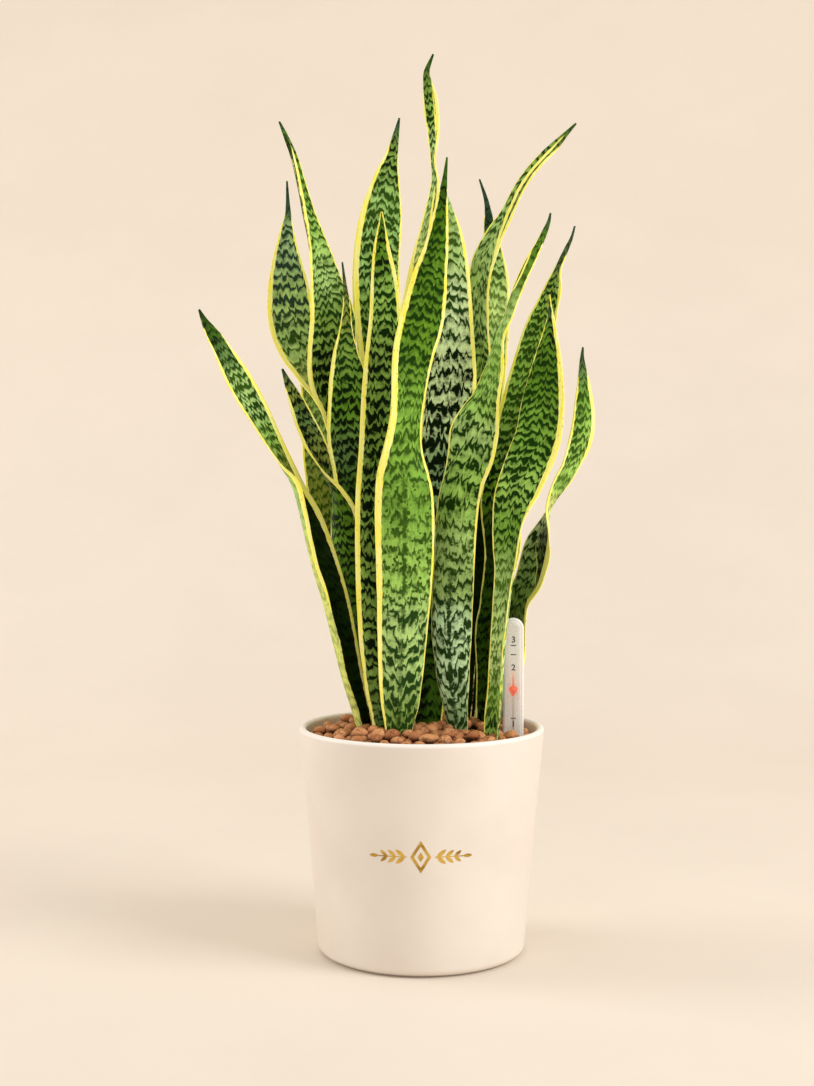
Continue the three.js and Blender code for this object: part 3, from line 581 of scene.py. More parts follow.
# %% Stations, in mm
LEAVES = {
    "leaf_far_left": [
        (-52, 187, -12, 14, 60, 82), (-65, 234, -14, 18, 60, 75), (-73.5, 269, -14, 21, 60, 73),
        (-82, 303, -14, 23, 60, 72), (-92, 337, -14, 23, 60, 72), (-101, 372, -15, 21, 68, 65),
        (-110.5, 402, -16, 18, 84, 52), (-121.8, 423, -18, 18, 71, 34), (-140.2, 457, -20, 20.5, 62, 24),
        (-158.6, 491, -23, 19.4, 56, 20), (-175.6, 524, -26, 11.4, 55, 16),
        (-184.8, 540.5, -28, 4.6, 52, 10), (-189.9, 551.5, -30, 0.8, 50, 5),
    ],
    "leaf_left_short": [
        (-47.5, 195, 4, 12.5, 140, 55), (-51, 226, 4, 15, 145, 48), (-58.6, 286, 2, 18, 145, 42),
        (-64.5, 330, 0, 19, 145, 40), (-69.5, 371, -1, 19, 134, 36), (-75.5, 394, -1, 18, 104, 34),
        (-83, 412, -1, 16, 75, 30), (-91.6, 434, 0, 14.8, 52, 22), (-100.7, 455, 0, 12.8, 46, 16),
        (-107.7, 474, 0, 8.6, 45, 10), (-115.7, 493, 0, 2.8, 40, 6), (-119, 501, 0, 0.8, 40, 5),
    ],
    "leaf_left_tall": [
        (-38, 200, 46, 12, 25, 55), (-41, 234, 48, 15, 25, 45), (-47.5, 303, 53, 17, 28, 34),
        (-54, 372, 57, 17, 32, 28), (-61, 423, 60, 17, 35, 24), (-68, 453, 62, 17, 35, 22),
        (-82.5, 483, 64, 17, 34, 20), (-94.5, 501.5, 65, 18, 24, 18), (-105.5, 521, 66, 18.5, 10, 16),
        (-111.6, 542, 67, 19.6, 0, 14), (-113.5, 568, 68, 17.8, 0, 12), (-114.8, 593, 68, 12.3, 0, 10),
        (-114.8, 614, 69, 7, 0, 8), (-113.7, 634, 70, 2.4, 0, 6), (-114.5, 660, 70, 0.7, 0, 5),
    ],
    "leaf_left_highest": [
        (-36, 200, 32, 13, 20, 55), (-42, 286, 38, 17, 20, 36), (-49, 355, 42, 18, 20, 30),
        (-56, 406, 44, 18, 18, 26), (-61, 440, 45, 18.5, 16, 24), (-68.5, 466, 45, 19, 14, 22),
        (-77.5, 491, 45, 20, 12, 20), (-77.5, 517, 45, 21, 10, 20), (-76.4, 542, 45, 20.5, 14, 24),
        (-82.2, 568, 45, 18, 28, 34), (-87.2, 589, 45, 15, 38, 46), (-92.9, 610, 45, 12.5, 46, 56),
        (-98.6, 631, 45, 10, 52, 60), (-103, 652, 45, 7.5, 54, 58), (-108.6, 677, 45, 5.2, 52, 46),
        (-115.3, 697, 45, 2.6, 45, 25), (-120.8, 710, 45, 0.7, 40, 10),
    ],
    "leaf_left_inner": [
        (-38.5, 200, 18, 12, 12, 55), (-49.5, 320, 26, 17, 12, 32), (-53.5, 372, 29, 18, 12, 28),
        (-57.5, 412, 30, 19, 10, 25), (-62.5, 440, 30, 19, 8, 22), (-62.5, 466, 30, 18.5, 6, 20),
        (-63, 491, 30, 16.5, 6, 18), (-65, 513, 30, 11.2, 4, 14), (-64.6, 534, 30, 5.8, 0, 10),
        (-64, 555, 30, 3.2, 0, 8), (-65.4, 572, 30, 1.6, 0, 6), (-67.6, 591.5, 30, 0.7, 0, 5),
    ],
    "leaf_left_hidden": [
        (-46, 200, 60, 12, 15, 50), (-57, 286, 68, 16, 15, 36), (-66.5, 337, 72, 17, 18, 30),
        (-80, 389, 76, 18.5, 18, 25), (-85.3, 420.5, 78, 17.5, 15, 22), (-87.5, 449, 79, 15.5, 12, 18),
        (-92, 483, 80, 11.5, 10, 14), (-101, 508, 81, 7, 5, 10), (-106, 529.5, 82, 0.8, 0, 5),
    ],
    "leaf_centre_left": [
        (-30, 195, -28, 13, 20, -60), (-33.5, 234, -30, 16.5, 22, -45), (-36.8, 286, -32, 18.5, 24, -36),
        (-37.8, 337, -33, 19.5, 25, -30), (-37.3, 389, -33, 20, 25, -26),
        (-34.8, 432, -32, 19.5, 24, -22), (-34, 474, -31, 18, 20, -18), (-32.5, 508, -30, 16.5, 14, -14),
        (-31, 542, -29, 14, 6, -10), (-32, 576, -28, 11.3, 0, -8), (-34, 601.5, -27, 7.4, 0, -6),
        (-34, 622.6, -26, 3, 0, -5), (-34, 634, -26, 0.8, 0, -5),
    ],
    "leaf_front": [
        (-19.5, 187, -50, 14, 0, -60), (-18.6, 217, -52, 18.3, 0, -42), (-17.3, 251, -54, 21.2, 0, -34),
        (-16, 286, -56, 23.2, 0, -30), (-14.6, 320, -57, 25, 0, -28), (-14.5, 355, -58, 26.2, 0, -26),
        (-14.6, 389, -59, 25.8, 2, -24), (-15.4, 410, -59, 23.2, 10, -22),
        (-14.5, 432, -59, 19.5, 28, -18), (-12, 457, -59, 18, 40, -14), (-9, 491, -60, 18.6, 32, -12),
        (-6, 517, -60, 18.8, 18, -12), (-0.6, 538, -60, 19, 6, -12), (3.4, 559, -60, 17.4, 0, -12),
        (7.2, 580, -60, 14.8, 0, -12), (12, 601.5, -60, 10.8, 0, -12), (16, 631, -60, 6.6, 0, -10),
        (19, 657, -60, 2.6, 0, -6), (21.5, 680, -60, 0.7, 0, -5),
    ],
    "leaf_back_broad": [
        (-21, 200, 44, 13, 0, 50), (-24.6, 303, 52, 17, 0, 32), (-27, 389, 57, 18, 0, 24),
        (-30.5, 474, 61, 18.5, 0, 18), (-34.8, 517, 64, 20.3, 0, 16), (-37.9, 551, 66, 20.4, 0, 14),
        (-38.8, 580, 68, 20.3, 0, 12), (-37.6, 606, 69, 19.7, 0, 10), (-34.7, 631, 71, 17.7, 0, 9),
        (-31.6, 652, 72, 13.6, 0, 8), (-28.5, 669, 73, 9, 0, 7), (-24.5, 686, 74, 4.6, 0, 6),
        (-19, 713, 75, 0.7, 0, 5),
    ],
    "leaf_highest": [
        (-16, 200, 14, 13, -5, 50), (-14, 303, 17, 16, -5, 34), (-12, 389, 19, 16.5, -5, 26),
        (-10, 474, 20, 16, -8, 20), (-6, 527, 21, 15, -12, 18), (-1, 567, 22, 14, -20, 16),
        (4, 601.5, 23, 12.5, -38, 14), (8.5, 631, 24, 10.5, -58, 14), (11.9, 658, 24, 9.6, -67, 12),
        (10.4, 675, 24, 7.8, -74, 10), (10.5, 690, 24, 9.2, -67, 10), (10.3, 703, 24, 7.6, -48, 10),
        (9, 713.5, 24, 7, -28, 10), (7.3, 728, 24, 6.8, -20, 8), (5.1, 742, 24, 4, -20, 6),
        (4.2, 752, 24, 2.4, -15, 5), (9.7, 766.5, 24, 0.8, 0, 5),
    ],
    "leaf_pale": [
        (5.4, 200, -8, 14, 0, -55), (8, 260, -6, 18, 0, -36), (12, 320, -4, 20, 0, -26),
        (15.6, 380, -2, 21.5, 0, -20), (19, 423, -1, 22, 0, -16), (21.6, 457, 0, 22, 0, -14),
        (25, 491, 0, 22, 0, -12), (24.6, 525, 0, 20.5, 0, -10), (25.2, 559, 0, 17.7, 0, -10),
        (25.7, 589, 0, 14.2, 0, -8), (25.7, 614, 0, 9.3, 0, -8), (23, 635, 0, 4, 0, -6),
        (20, 650.5, 0, 0.7, 0, -5),
    ],
    "leaf_back_right": [
        (38, 200, 40, 12, -25, 50), (43, 303, 45, 16, -22, 34), (46, 372, 48, 17, -20, 26),
        (50, 440, 51, 17.5, -15, 22), (55, 491, 53, 17, -10, 18), (59, 529, 55, 15.5, -5, 15),
        (61, 559, 56, 14, 0, 12), (62.3, 580, 57, 11.4, 0, 10), (60.5, 601.5, 58, 7.8, 0, 9),
        (58, 618, 58, 5.8, 0, 8), (56.5, 634, 59, 2.9, 0, 6), (54.2, 646, 59, 1.7, 0, 6),
        (49.1, 661.5, 60, 0.7, 0, 5),
    ],
    "leaf_arching_right": [
        (33, 200, 15, 12, -20, 40), (39.5, 303, 19, 16, -22, 28), (45, 389, 20, 17, -26, 22),
        (50, 457, 20, 17, -42, 20), (52, 508, 20, 16.5, -58, 18), (51, 551, 19, 16, -60, 18),
        (51.5, 576, 18, 16, -54, 18), (55, 595, 18, 15.5, -52, 18), (63, 612.5, 18, 15, -58, 18),
        (71.8, 628.6, 17, 14, -67, 16), (78.2, 641, 16, 13.5, -69, 16), (85.2, 654.6, 15, 12.5, -69, 15),
        (92.8, 667, 14, 10, -67, 14), (102, 678, 13, 8, -62, 12), (113, 689.3, 12, 5.2, -52, 10),
        (123, 700.2, 11, 2.5, -48, 6), (131, 708.5, 10, 0.7, -45, 5),
    ],
    "leaf_front_right": [
        (29.5, 195, -28, 11, -15, -60), (26.9, 221, -29, 14.5, -15, -52),
        (24.5, 251.5, -30, 17.8, -16, -46), (24, 286, -31, 20, -18, -42), (25, 320, -31, 20, -20, -40),
        (27, 359, -31, 20.2, -22, -36), (30, 389, -31, 20.2, -24, -32), (35, 408.6, -30, 20.3, -26, -26),
        (41, 427, -29, 21.5, -20, -20), (43.8, 446, -28, 22.5, -20, -18),
        (47.7, 463, -27, 21.3, -36, -18), (53.5, 480, -26, 19.3, -54, -18),
        (58.8, 498, -25, 17.8, -63, -18), (61.4, 512.6, -24, 16.6, -70, -18),
        (65.5, 529.5, -23, 14.2, -75, -16), (72.7, 546.5, -22, 13, -73, -14),
        (80.5, 567.7, -21, 12, -71, -12), (91.1, 591.4, -20, 9.4, -64, -10),
        (99.8, 607.4, -20, 6, -63, -8), (107.3, 623.5, -20, 2.4, -55, -5),
        (109.6, 633, -20, 0.7, -50, -5),
    ],
    "leaf_broad_right": [
        (64, 191, -42, 12, -54, 55), (67, 225.6, -46, 14, -63, 45), (69, 260, -49, 16, -68, 40),
        (72.4, 294.6, -52, 18, -67, 36), (74.9, 324.7, -54, 19, -64.5, 32),
        (75.7, 350.5, -56, 20, -56, 30), (79, 380.4, -58, 20.5, -40, 28),
        (84.5, 400, -59, 20.5, -22, 25), (93.2, 423, -60, 20.8, -15, 20),
        (100.5, 444.5, -61, 20.3, -15, 16), (104, 470, -62, 19.3, -18, 14),
        (107, 495.5, -63, 16, -26, 12), (108.8, 517, -64, 11.3, -28, 10), (110, 540.6, -65, 4.3, -25, 8),
        (109.5, 552, -65, 1.8, -20, 6), (108.6, 564, -65, 0.7, -20, 5),
    ],
    "leaf_behind_right": [
        (57, 195, -8, 12, -55, 55), (58.8, 234, -8, 15, -60, 46), (59, 277, -8, 17.5, -62, 40),
        (63.5, 299, -8, 18, -57, 36), (71.5, 342, -8, 19, -36, 30), (69.5, 389, -9, 19.5, -22, 24),
        (78.7, 431.7, -10, 19.5, -22, 20), (86.1, 466, -11, 19.8, -28, 18),
        (91.2, 491, -12, 19.4, -32, 16), (96.5, 517, -13, 17, -36, 14), (102.8, 538, -14, 17, -42, 12),
        (109, 556.7, -15, 14.6, -50, 10), (112.9, 572, -16, 11.2, -55, 9),
        (116, 584.6, -17, 6.5, -62, 8), (122.5, 600.6, -18, 3.6, -62, 6),
        (127.4, 611.7, -19, 1.6, -55, 5), (130.3, 622, -20, 0.7, -50, 5),
    ],
    "leaf_far_right": [
        (76, 191, 21, 10, 122, -45), (79, 217, 22, 12.4, 124, -42), (84.5, 251.5, 22, 14.4, 125, -40),
        (84.4, 282, 20, 16, 126, -38), (86.5, 302, 18.5, 16.6, 132, -35), (95.4, 320, 17, 17.8, 136, -32),
        (101.9, 346, 14, 18.2, 130, -26), (106.4, 363, 11, 17.4, 112, -20),
        (110.3, 382, 9, 16.4, 84, -14), (118.8, 400, 8, 16, 67, -12), (129, 419, 7, 14.5, 58, -10),
        (136.3, 438.5, 7, 13.2, 45, -10), (139.2, 457, 6, 11.6, 35, -10), (138.7, 483, 6, 7, 28, -8),
        (137.7, 497, 5, 4, 22, -6), (137, 510, 5, 1.8, 15, -5), (137.6, 519.4, 5, 0.7, 10, -5),
    ],
}
FOOT_LEVEL = 152  # the buried foot's height
LEAF_MIDDLE = {"foot": 3.2, "tip": 1.2}  # thickness at the middle of the blade
LEAF_MARGIN = 0.9  # thickness at its two edges
print("leaves:", len(LEAVES))


# %% From stations to a smooth blade
def glide(values, at):
    """A smooth value between listed ones: at 1.5 is half way from the second to the third."""
    last = len(values) - 1
    i = min(int(at), last - 1)
    b, c = values[i], values[i + 1]
    a = values[i - 1] if i > 0 else 2 * b - c
    d = values[i + 2] if i + 2 <= last else 2 * c - b
    t = at - i
    rise, fall = (c - a) / 2, (d - b) / 2
    return b + t * (rise + t * (3 * (c - b) - 2 * rise - fall + t * (2 * (b - c) + rise + fall)))


def true_stations(rows):
    """The stations as real places, each [x, y, z, half, turn, cup, height as sighted]."""
    stations = []
    for x, z, depth, half, turn, cup in rows:
        stretch = 1 + depth / -EYE.y
        place = (Vector((x, 0, z)) - EYE) * stretch + EYE
        stations.append([*place, half * stretch, turn, cup, z])
    x, y, _, half, turn, cup, _ = stations[0]
    return [[x, y, FOOT_LEVEL, 0.85 * half, turn, cup, FOOT_LEVEL], *stations]


def blade_row(stations, at):
    """The blade's middle, its two directions and its sizes at one place along it."""
    columns = list(zip(*stations))
    last = len(stations) - 1

    def place(t):
        return Vector([glide(columns[k], t) for k in range(3)])

    middle = place(at)
    along = (place(min(at + 0.05, last)) - place(max(at - 0.05, 0))).normalized()
    right = (middle - EYE).cross(along).normalized()
    away = along.cross(right)
    turn = math.radians(glide(columns[4], at))
    side = right * math.cos(turn) + away * math.sin(turn)
    thick = LEAF_MIDDLE["foot"] + (LEAF_MIDDLE["tip"] - LEAF_MIDDLE["foot"]) * at / last
    return {
        "middle": middle, "side": side, "facing": side.cross(along).normalized(),
        "half": max(glide(columns[3], at), 0.15), "cup": math.radians(glide(columns[5], at)),
        "thick": thick, "sighted": glide(columns[6], at),
    }


def blade_point(row, u, seed, length):
    """The middle of the leaf's thickness at u across it, from -1 to 1, and its normal there."""
    bend = row["half"] / row["cup"]
    angle = u * row["cup"]
    spot = row["middle"] + row["side"] * bend * math.sin(angle)
    spot += row["facing"] * bend * (1 - math.cos(angle))
    normal = row["facing"] * math.cos(angle) - row["side"] * math.sin(angle)
    broad = min(row["half"] / 12, 1)
    ruffle = noise.noise(Vector((length / 26, u * 0.8, seed))) * abs(u) ** 3 * 1.5
    ribs = math.cos(u * 11) * 0.22 * (1 - abs(u))
    return spot + normal * (ruffle + ribs) * broad, normal


# %% [markdown]
# ## Leaves: how each one is coloured
#
# The bands belong to the leaf, not to the space that it stands in, so the finish can't read the
# object's place. Each blade carries its own map instead: how far a point lies from its middle line
# and from its foot, in millimetres, and a count that goes up by one from each dark band to the next.
# Colours are set zone by zone up the leaf: ground and band colour, how strong the bands are, their
# spacing, how far they droop towards the margins, how speckled the leaf is and how dark its spine.

# %% Colours of the leaves
GREENS = {
    "ink": tint(8, 26, 2), "night": tint(24, 44, 8), "deep": tint(26, 60, 4),
    "pine": tint(39, 70, 22), "forest": tint(54, 88, 18), "vivid": tint(66, 104, 16),
    "leafy": tint(86, 125, 32), "slate": tint(91, 119, 62), "moss": tint(117, 148, 64),
    "olive": tint(127, 139, 60), "fresh": tint(114, 156, 58), "mist": tint(143, 173, 120),
    "lime": tint(142, 181, 83), "sage": tint(157, 188, 110), "pear": tint(190, 200, 108),
    "silver": tint(187, 207, 152), "reed": tint(144, 183, 102), "leek": tint(194, 218, 136),
    "frost": tint(195, 227, 177), "dusk": tint(44, 68, 49),
}
# Zones from the tip down: (height, ground, band, strength, spacing, droop, specks, spine)
# Low on the back leaves, where they stand in the shade of the leaves in front, the ground is the near-black
# night: painted shade.
ZONES = {
    "leaf_far_left": [
        (551, "night", "ink", 0.3, 8, 0.2, 0, 0), (532, "forest", "ink", 0.7, 8, 0.2, 0, 0),
        (510, "slate", "deep", 1, 9, 0.2, 0, 0), (490, "sage", "forest", 1.2, 9, 0.2, 0.1, 0),
        (465, "sage", "deep", 1.15, 10, 0.2, 0.1, 0), (440, "lime", "forest", 0.9, 10, 0.2, 0, 0),
        (420, "olive", "forest", 0.9, 10, 0.2, 0, 0), (395, "night", "ink", 0.6, 10, 0.2, 0, 0),
    ],
    "leaf_left_short": [
        (501, "dusk", "ink", 0.5, 8, 0.4, 0, 0), (480, "olive", "ink", 1, 8, 0.4, 0, 0),
        (460, "slate", "ink", 1, 8, 0.4, 0, 0), (425, "olive", "ink", 1, 9, 0.4, 0, 0),
        (395, "leafy", "deep", 1, 9, 0.4, 0, 0), (360, "leafy", "ink", 1.1, 9, 0.4, 0, 0),
        (300, "forest", "ink", 0.8, 9, 0.4, 0, 0),
    ],
    "leaf_left_tall": [
        (655, "dusk", "ink", 0.2, 8, 0.2, 0, 0), (636, "dusk", "ink", 0.3, 8, 0.2, 0, 0),
        (618, "mist", "dusk", 0.9, 8, 0.2, 0, 0), (600, "mist", "dusk", 1, 9, 0.2, 0, 0),
        (560, "sage", "dusk", 1.05, 11, 0.25, 0.1, 0),
        (520, "sage", "forest", 0.95, 10, 0.25, 0.2, 0), (490, "pear", "moss", 0.8, 10, 0.2, 0.2, 0),
        (460, "olive", "forest", 0.6, 9, 0.2, 0, 0), (420, "forest", "ink", 0.6, 9, 0.2, 0, 0),
    ],
    "leaf_left_highest": [
        (710, "deep", "ink", 0.4, 7, 0.2, 0, 0), (690, "leafy", "ink", 0.8, 7, 0.2, 0, 0),
        (660, "fresh", "forest", 0.9, 8, 0.3, 0, 0), (620, "lime", "forest", 0.95, 8, 0.3, 0.1, 0),
        (580, "sage", "forest", 0.9, 7, 0.3, 0.3, 0), (545, "moss", "deep", 1, 8, 0.3, 0.3, 0),
        (510, "moss", "ink", 1.1, 10, 0.3, 0.1, 0), (470, "moss", "ink", 1, 10, 0.3, 0, 0),
        (430, "forest", "ink", 0.8, 9, 0.3, 0, 0), (390, "night", "ink", 0.6, 9, 0.3, 0, 0),
    ],
    "leaf_left_inner": [
        (592, "dusk", "ink", 0.4, 7, 0.3, 0, 0), (545, "olive", "deep", 0.9, 7, 0.3, 0, 0),
        (520, "moss", "deep", 1, 8, 0.3, 0.1, 0), (470, "leafy", "ink", 1.05, 9, 0.3, 0.1, 0),
        (430, "slate", "ink", 1.1, 9, 0.3, 0.1, 0), (400, "forest", "ink", 1, 9, 0.3, 0, 0),
        (360, "forest", "ink", 0.9, 9, 0.3, 0, 0),
    ],
    "leaf_left_hidden": [
        (530, "moss", "deep", 0.8, 8, 0.3, 0, 0), (490, "sage", "olive", 0.9, 8, 0.3, 0, 0),
        (450, "sage", "slate", 0.9, 9, 0.3, 0, 0), (400, "olive", "forest", 0.9, 9, 0.3, 0, 0),
    ],
    "leaf_centre_left": [
        (634, "forest", "ink", 0.5, 7, 0.3, 0, 0), (600, "leafy", "ink", 1, 8, 0.3, 0.2, 0),
        (560, "lime", "deep", 1, 9, 0.3, 0.2, 0), (510, "moss", "ink", 1, 9, 0.2, 0.3, 0),
        (460, "moss", "ink", 1.1, 11, 0.2, 0.3, 0.2), (400, "moss", "ink", 1.05, 11, 0.2, 0.3, 0.3),
        (340, "moss", "ink", 1, 11, -0.5, 0.2, 0.3), (250, "moss", "ink", 1, 10, -0.8, 0, 0.4),
        (200, "slate", "deep", 0.9, 8, -0.8, 0, 0.4),
    ],
    "leaf_front": [
        (680, "forest", "pine", 0.4, 8, 0.2, 0, 0), (655, "forest", "ink", 0.7, 8, 0.2, 0, 0),
        (630, "vivid", "deep", 0.9, 8, 0.2, 0.2, 0), (580, "leafy", "deep", 1, 8, 0.25, 0.3, 0),
        (520, "leafy", "deep", 0.95, 9, 0.25, 0.3, 0), (455, "fresh", "forest", 0.9, 11, 0.2, 0.3, 0),
        (425, "fresh", "forest", 1, 13, 0.1, 0.2, 0), (390, "fresh", "forest", 0.6, 15, 0.1, 1, 0.9),
        (320, "lime", "forest", 0.6, 15, -0.4, 1, 1), (285, "sage", "pine", 0.85, 14, -1.3, 0.7, 0.7),
        (245, "sage", "pine", 1.05, 13, -1.7, 0.3, 0.7), (190, "moss", "pine", 1.1, 11, -1.7, 0.2, 0.7),
    ],
    "leaf_back_broad": [
        (713, "dusk", "ink", 0.4, 7, 0.3, 0, 0), (680, "moss", "ink", 0.9, 8, 0.4, 0, 0),
        (640, "reed", "forest", 1.1, 9.5, 0.5, 0.1, 0.1), (590, "reed", "deep", 1.1, 9.5, 0.5, 0.2, 0.1),
        (540, "moss", "deep", 1, 9, 0.4, 0.2, 0), (480, "forest", "ink", 0.8, 9, 0.4, 0, 0),
    ],
    "leaf_highest": [
        (766, "deep", "ink", 0.3, 7, 0.2, 0, 0), (735, "moss", "deep", 0.9, 7, 0.2, 0, 0),
        (715, "lime", "deep", 1.1, 7, 0.2, 0.1, 0), (680, "sage", "pine", 1, 8, 0.2, 0.1, 0),
        (640, "sage", "slate", 0.9, 8, 0.3, 0.1, 0), (590, "pear", "moss", 0.9, 8, 0.3, 0.1, 0),
        (520, "forest", "ink", 0.8, 8, 0.3, 0, 0),
    ],
    "leaf_pale": [
        (650, "sage", "moss", 0.7, 8, 0.2, 0, 0), (600, "sage", "forest", 0.9, 9, 0.3, 0.2, 0),
        (560, "silver", "pine", 1.05, 9, 0.3, 0.2, 0), (535, "silver", "pine", 0.85, 15, 0.2, 0.3, 0),
        (515, "silver", "ink", 0.75, 15, 0.2, 0.5, 0), (480, "silver", "ink", 0.95, 15, 0.2, 0.6, 0),
        (455, "silver", "ink", 1.25, 15, 0.15, 0.2, 0), (430, "mist", "ink", 1.3, 15, 0.2, 0.1, 0),
        (390, "mist", "ink", 1.2, 13, 0.2, 0, 0), (350, "slate", "ink", 1.1, 11, 0.2, 0, 0),
        (300, "forest", "ink", 0.8, 10, 0.2, 0, 0),
    ],
    "leaf_back_right": [
        (661, "dusk", "ink", 0.3, 7, 0.3, 0, 0), (617, "dusk", "ink", 0.6, 7, 0.3, 0, 0),
        (590, "sage", "forest", 0.9, 8, 0.4, 0.1, 0), (550, "leek", "moss", 0.9, 10, 0.6, 0.4, 0),
        (510, "sage", "forest", 0.8, 9, 0.4, 0.3, 0), (470, "moss", "deep", 0.6, 9, 0.4, 0, 0),
        (430, "forest", "ink", 0.6, 9, 0.4, 0, 0), (350, "night", "ink", 0.6, 9, 0.4, 0, 0),
    ],
    "leaf_arching_right": [
        (708, "forest", "ink", 0.5, 7, 0.1, 0, 0), (685, "moss", "deep", 0.9, 7, 0.1, 0, 0),
        (660, "lime", "deep", 1, 9, 0.1, 0, 0), (625, "sage", "forest", 0.9, 9, 0.1, 0, 0),
        (600, "sage", "forest", 0.75, 11, 0.9, 0.1, 0), (560, "sage", "forest", 0.8, 12, 1.2, 0.1, 0),
        (510, "lime", "deep", 1, 9, 0.8, 0.1, 0), (440, "forest", "ink", 0.8, 9, 0.4, 0, 0),
        (360, "night", "ink", 0.6, 9, 0.4, 0, 0),
    ],
    "leaf_front_right": [
        (633, "dusk", "ink", 0.3, 7, 0.1, 0, 0), (610, "leafy", "deep", 0.7, 7, 0.1, 0, 0),
        (580, "leafy", "forest", 0.7, 9, 0.2, 0, 0), (545, "sage", "fresh", 0.7, 9, 0.4, 0, 0),
        (500, "lime", "leafy", 0.9, 9, 0.6, 0, 0), (470, "lime", "forest", 0.9, 11, 0.5, 0, 0),
        (448, "sage", "deep", 0.9, 16, 0.4, 0.1, 0), (410, "lime", "deep", 0.85, 17, 0.3, 0.2, 0),
        (385, "lime", "deep", 0.85, 16, 0.2, 0.5, 0), (350, "sage", "forest", 0.75, 15, 0, 1, 0.1),
        (310, "sage", "pine", 0.85, 14, -0.9, 0.8, 0.9), (285, "frost", "pine", 0.95, 14, -1.4, 0.6, 1),
        (240, "frost", "pine", 1.1, 14, -1.7, 0.5, 1), (195, "mist", "pine", 1, 12, -1.7, 0.3, 0.8),
    ],
    "leaf_broad_right": [
        (564, "dusk", "ink", 0.3, 7, 0.5, 0, 0), (530, "leafy", "ink", 1, 7, 0.6, 0, 0),
        (500, "leafy", "deep", 1, 7, 0.8, 0.1, 0), (440, "fresh", "deep", 1.15, 7.5, 0.9, 0.1, 0),
        (400, "lime", "deep", 1, 8, 0.9, 0.1, 0.1), (360, "fresh", "deep", 0.9, 9, 0.8, 0, 0),
        (320, "sage", "leafy", 0.8, 10, 0.5, 0.5, 0), (250, "leek", "leafy", 0.7, 12, 0.3, 0.8, 0),
        (215, "lime", "leafy", 0.9, 10, 0.5, 0.2, 0), (195, "lime", "deep", 1, 10, 0.5, 0, 0),
    ],
    "leaf_behind_right": [
        (622, "dusk", "ink", 0.3, 7, 0.2, 0.2, 0), (592, "slate", "dusk", 0.9, 7, 0.2, 0, 0),
        (570, "lime", "deep", 1, 7, 0.5, 0, 0), (520, "lime", "forest", 1.1, 7, 0.6, 0.2, 0),
        (470, "lime", "forest", 1.1, 8, 0.6, 0.3, 0), (430, "moss", "deep", 1, 9, 0.5, 0.2, 0),
        (400, "leafy", "ink", 1.1, 9, 0.4, 0, 0), (350, "night", "ink", 0.6, 9, 0.4, 0, 0),
        (290, "forest", "ink", 0.8, 9, 0.4, 0.2, 0), (200, "forest", "ink", 0.8, 9, 0.4, 0.2, 0),
    ],
    "leaf_far_right": [
        (519, "dusk", "ink", 0.3, 7, 0.3, 0, 0), (495, "slate", "pine", 0.8, 8, 0.5, 0, 0),
        (475, "fresh", "forest", 1, 9, 0.6, 0, 0), (430, "lime", "forest", 1, 9, 0.7, 0, 0),
        (400, "lime", "leafy", 0.9, 9, 0.7, 0, 0), (385, "pear", "olive", 0.6, 9, 0.6, 0, 0),
        (365, "silver", "deep", 0.85, 10, 0.4, 0, 0), (335, "sage", "pine", 0.85, 11, 0.3, 0.3, 0),
        (300, "moss", "pine", 0.8, 11, 0.3, 0.3, 0), (250, "night", "ink", 0.8, 10, 0.3, 0, 0),
    ],
}
# The far side of a leaf where it isn't the same as the near one. Low on leaf_far_left the near, hollow side
# keeps the near-black night ground as painted shade inside its fold, while the far side is paler.
OUTSIDES = {
    "leaf_far_left": [
        (460, "forest", "ink", 0.6, 10, 0.2, 0, 0), (420, "lime", "forest", 0.5, 10, 0.2, 0, 0),
        (380, "sage", "moss", 0.4, 10, 0.2, 0.2, 0), (340, "pear", "lime", 0.3, 10, 0.2, 0, 0),
        (260, "pear", "lime", 0.3, 10, 0.2, 0, 0), (200, "pear", "olive", 0.3, 10, 0.2, 0, 0),
    ],
}
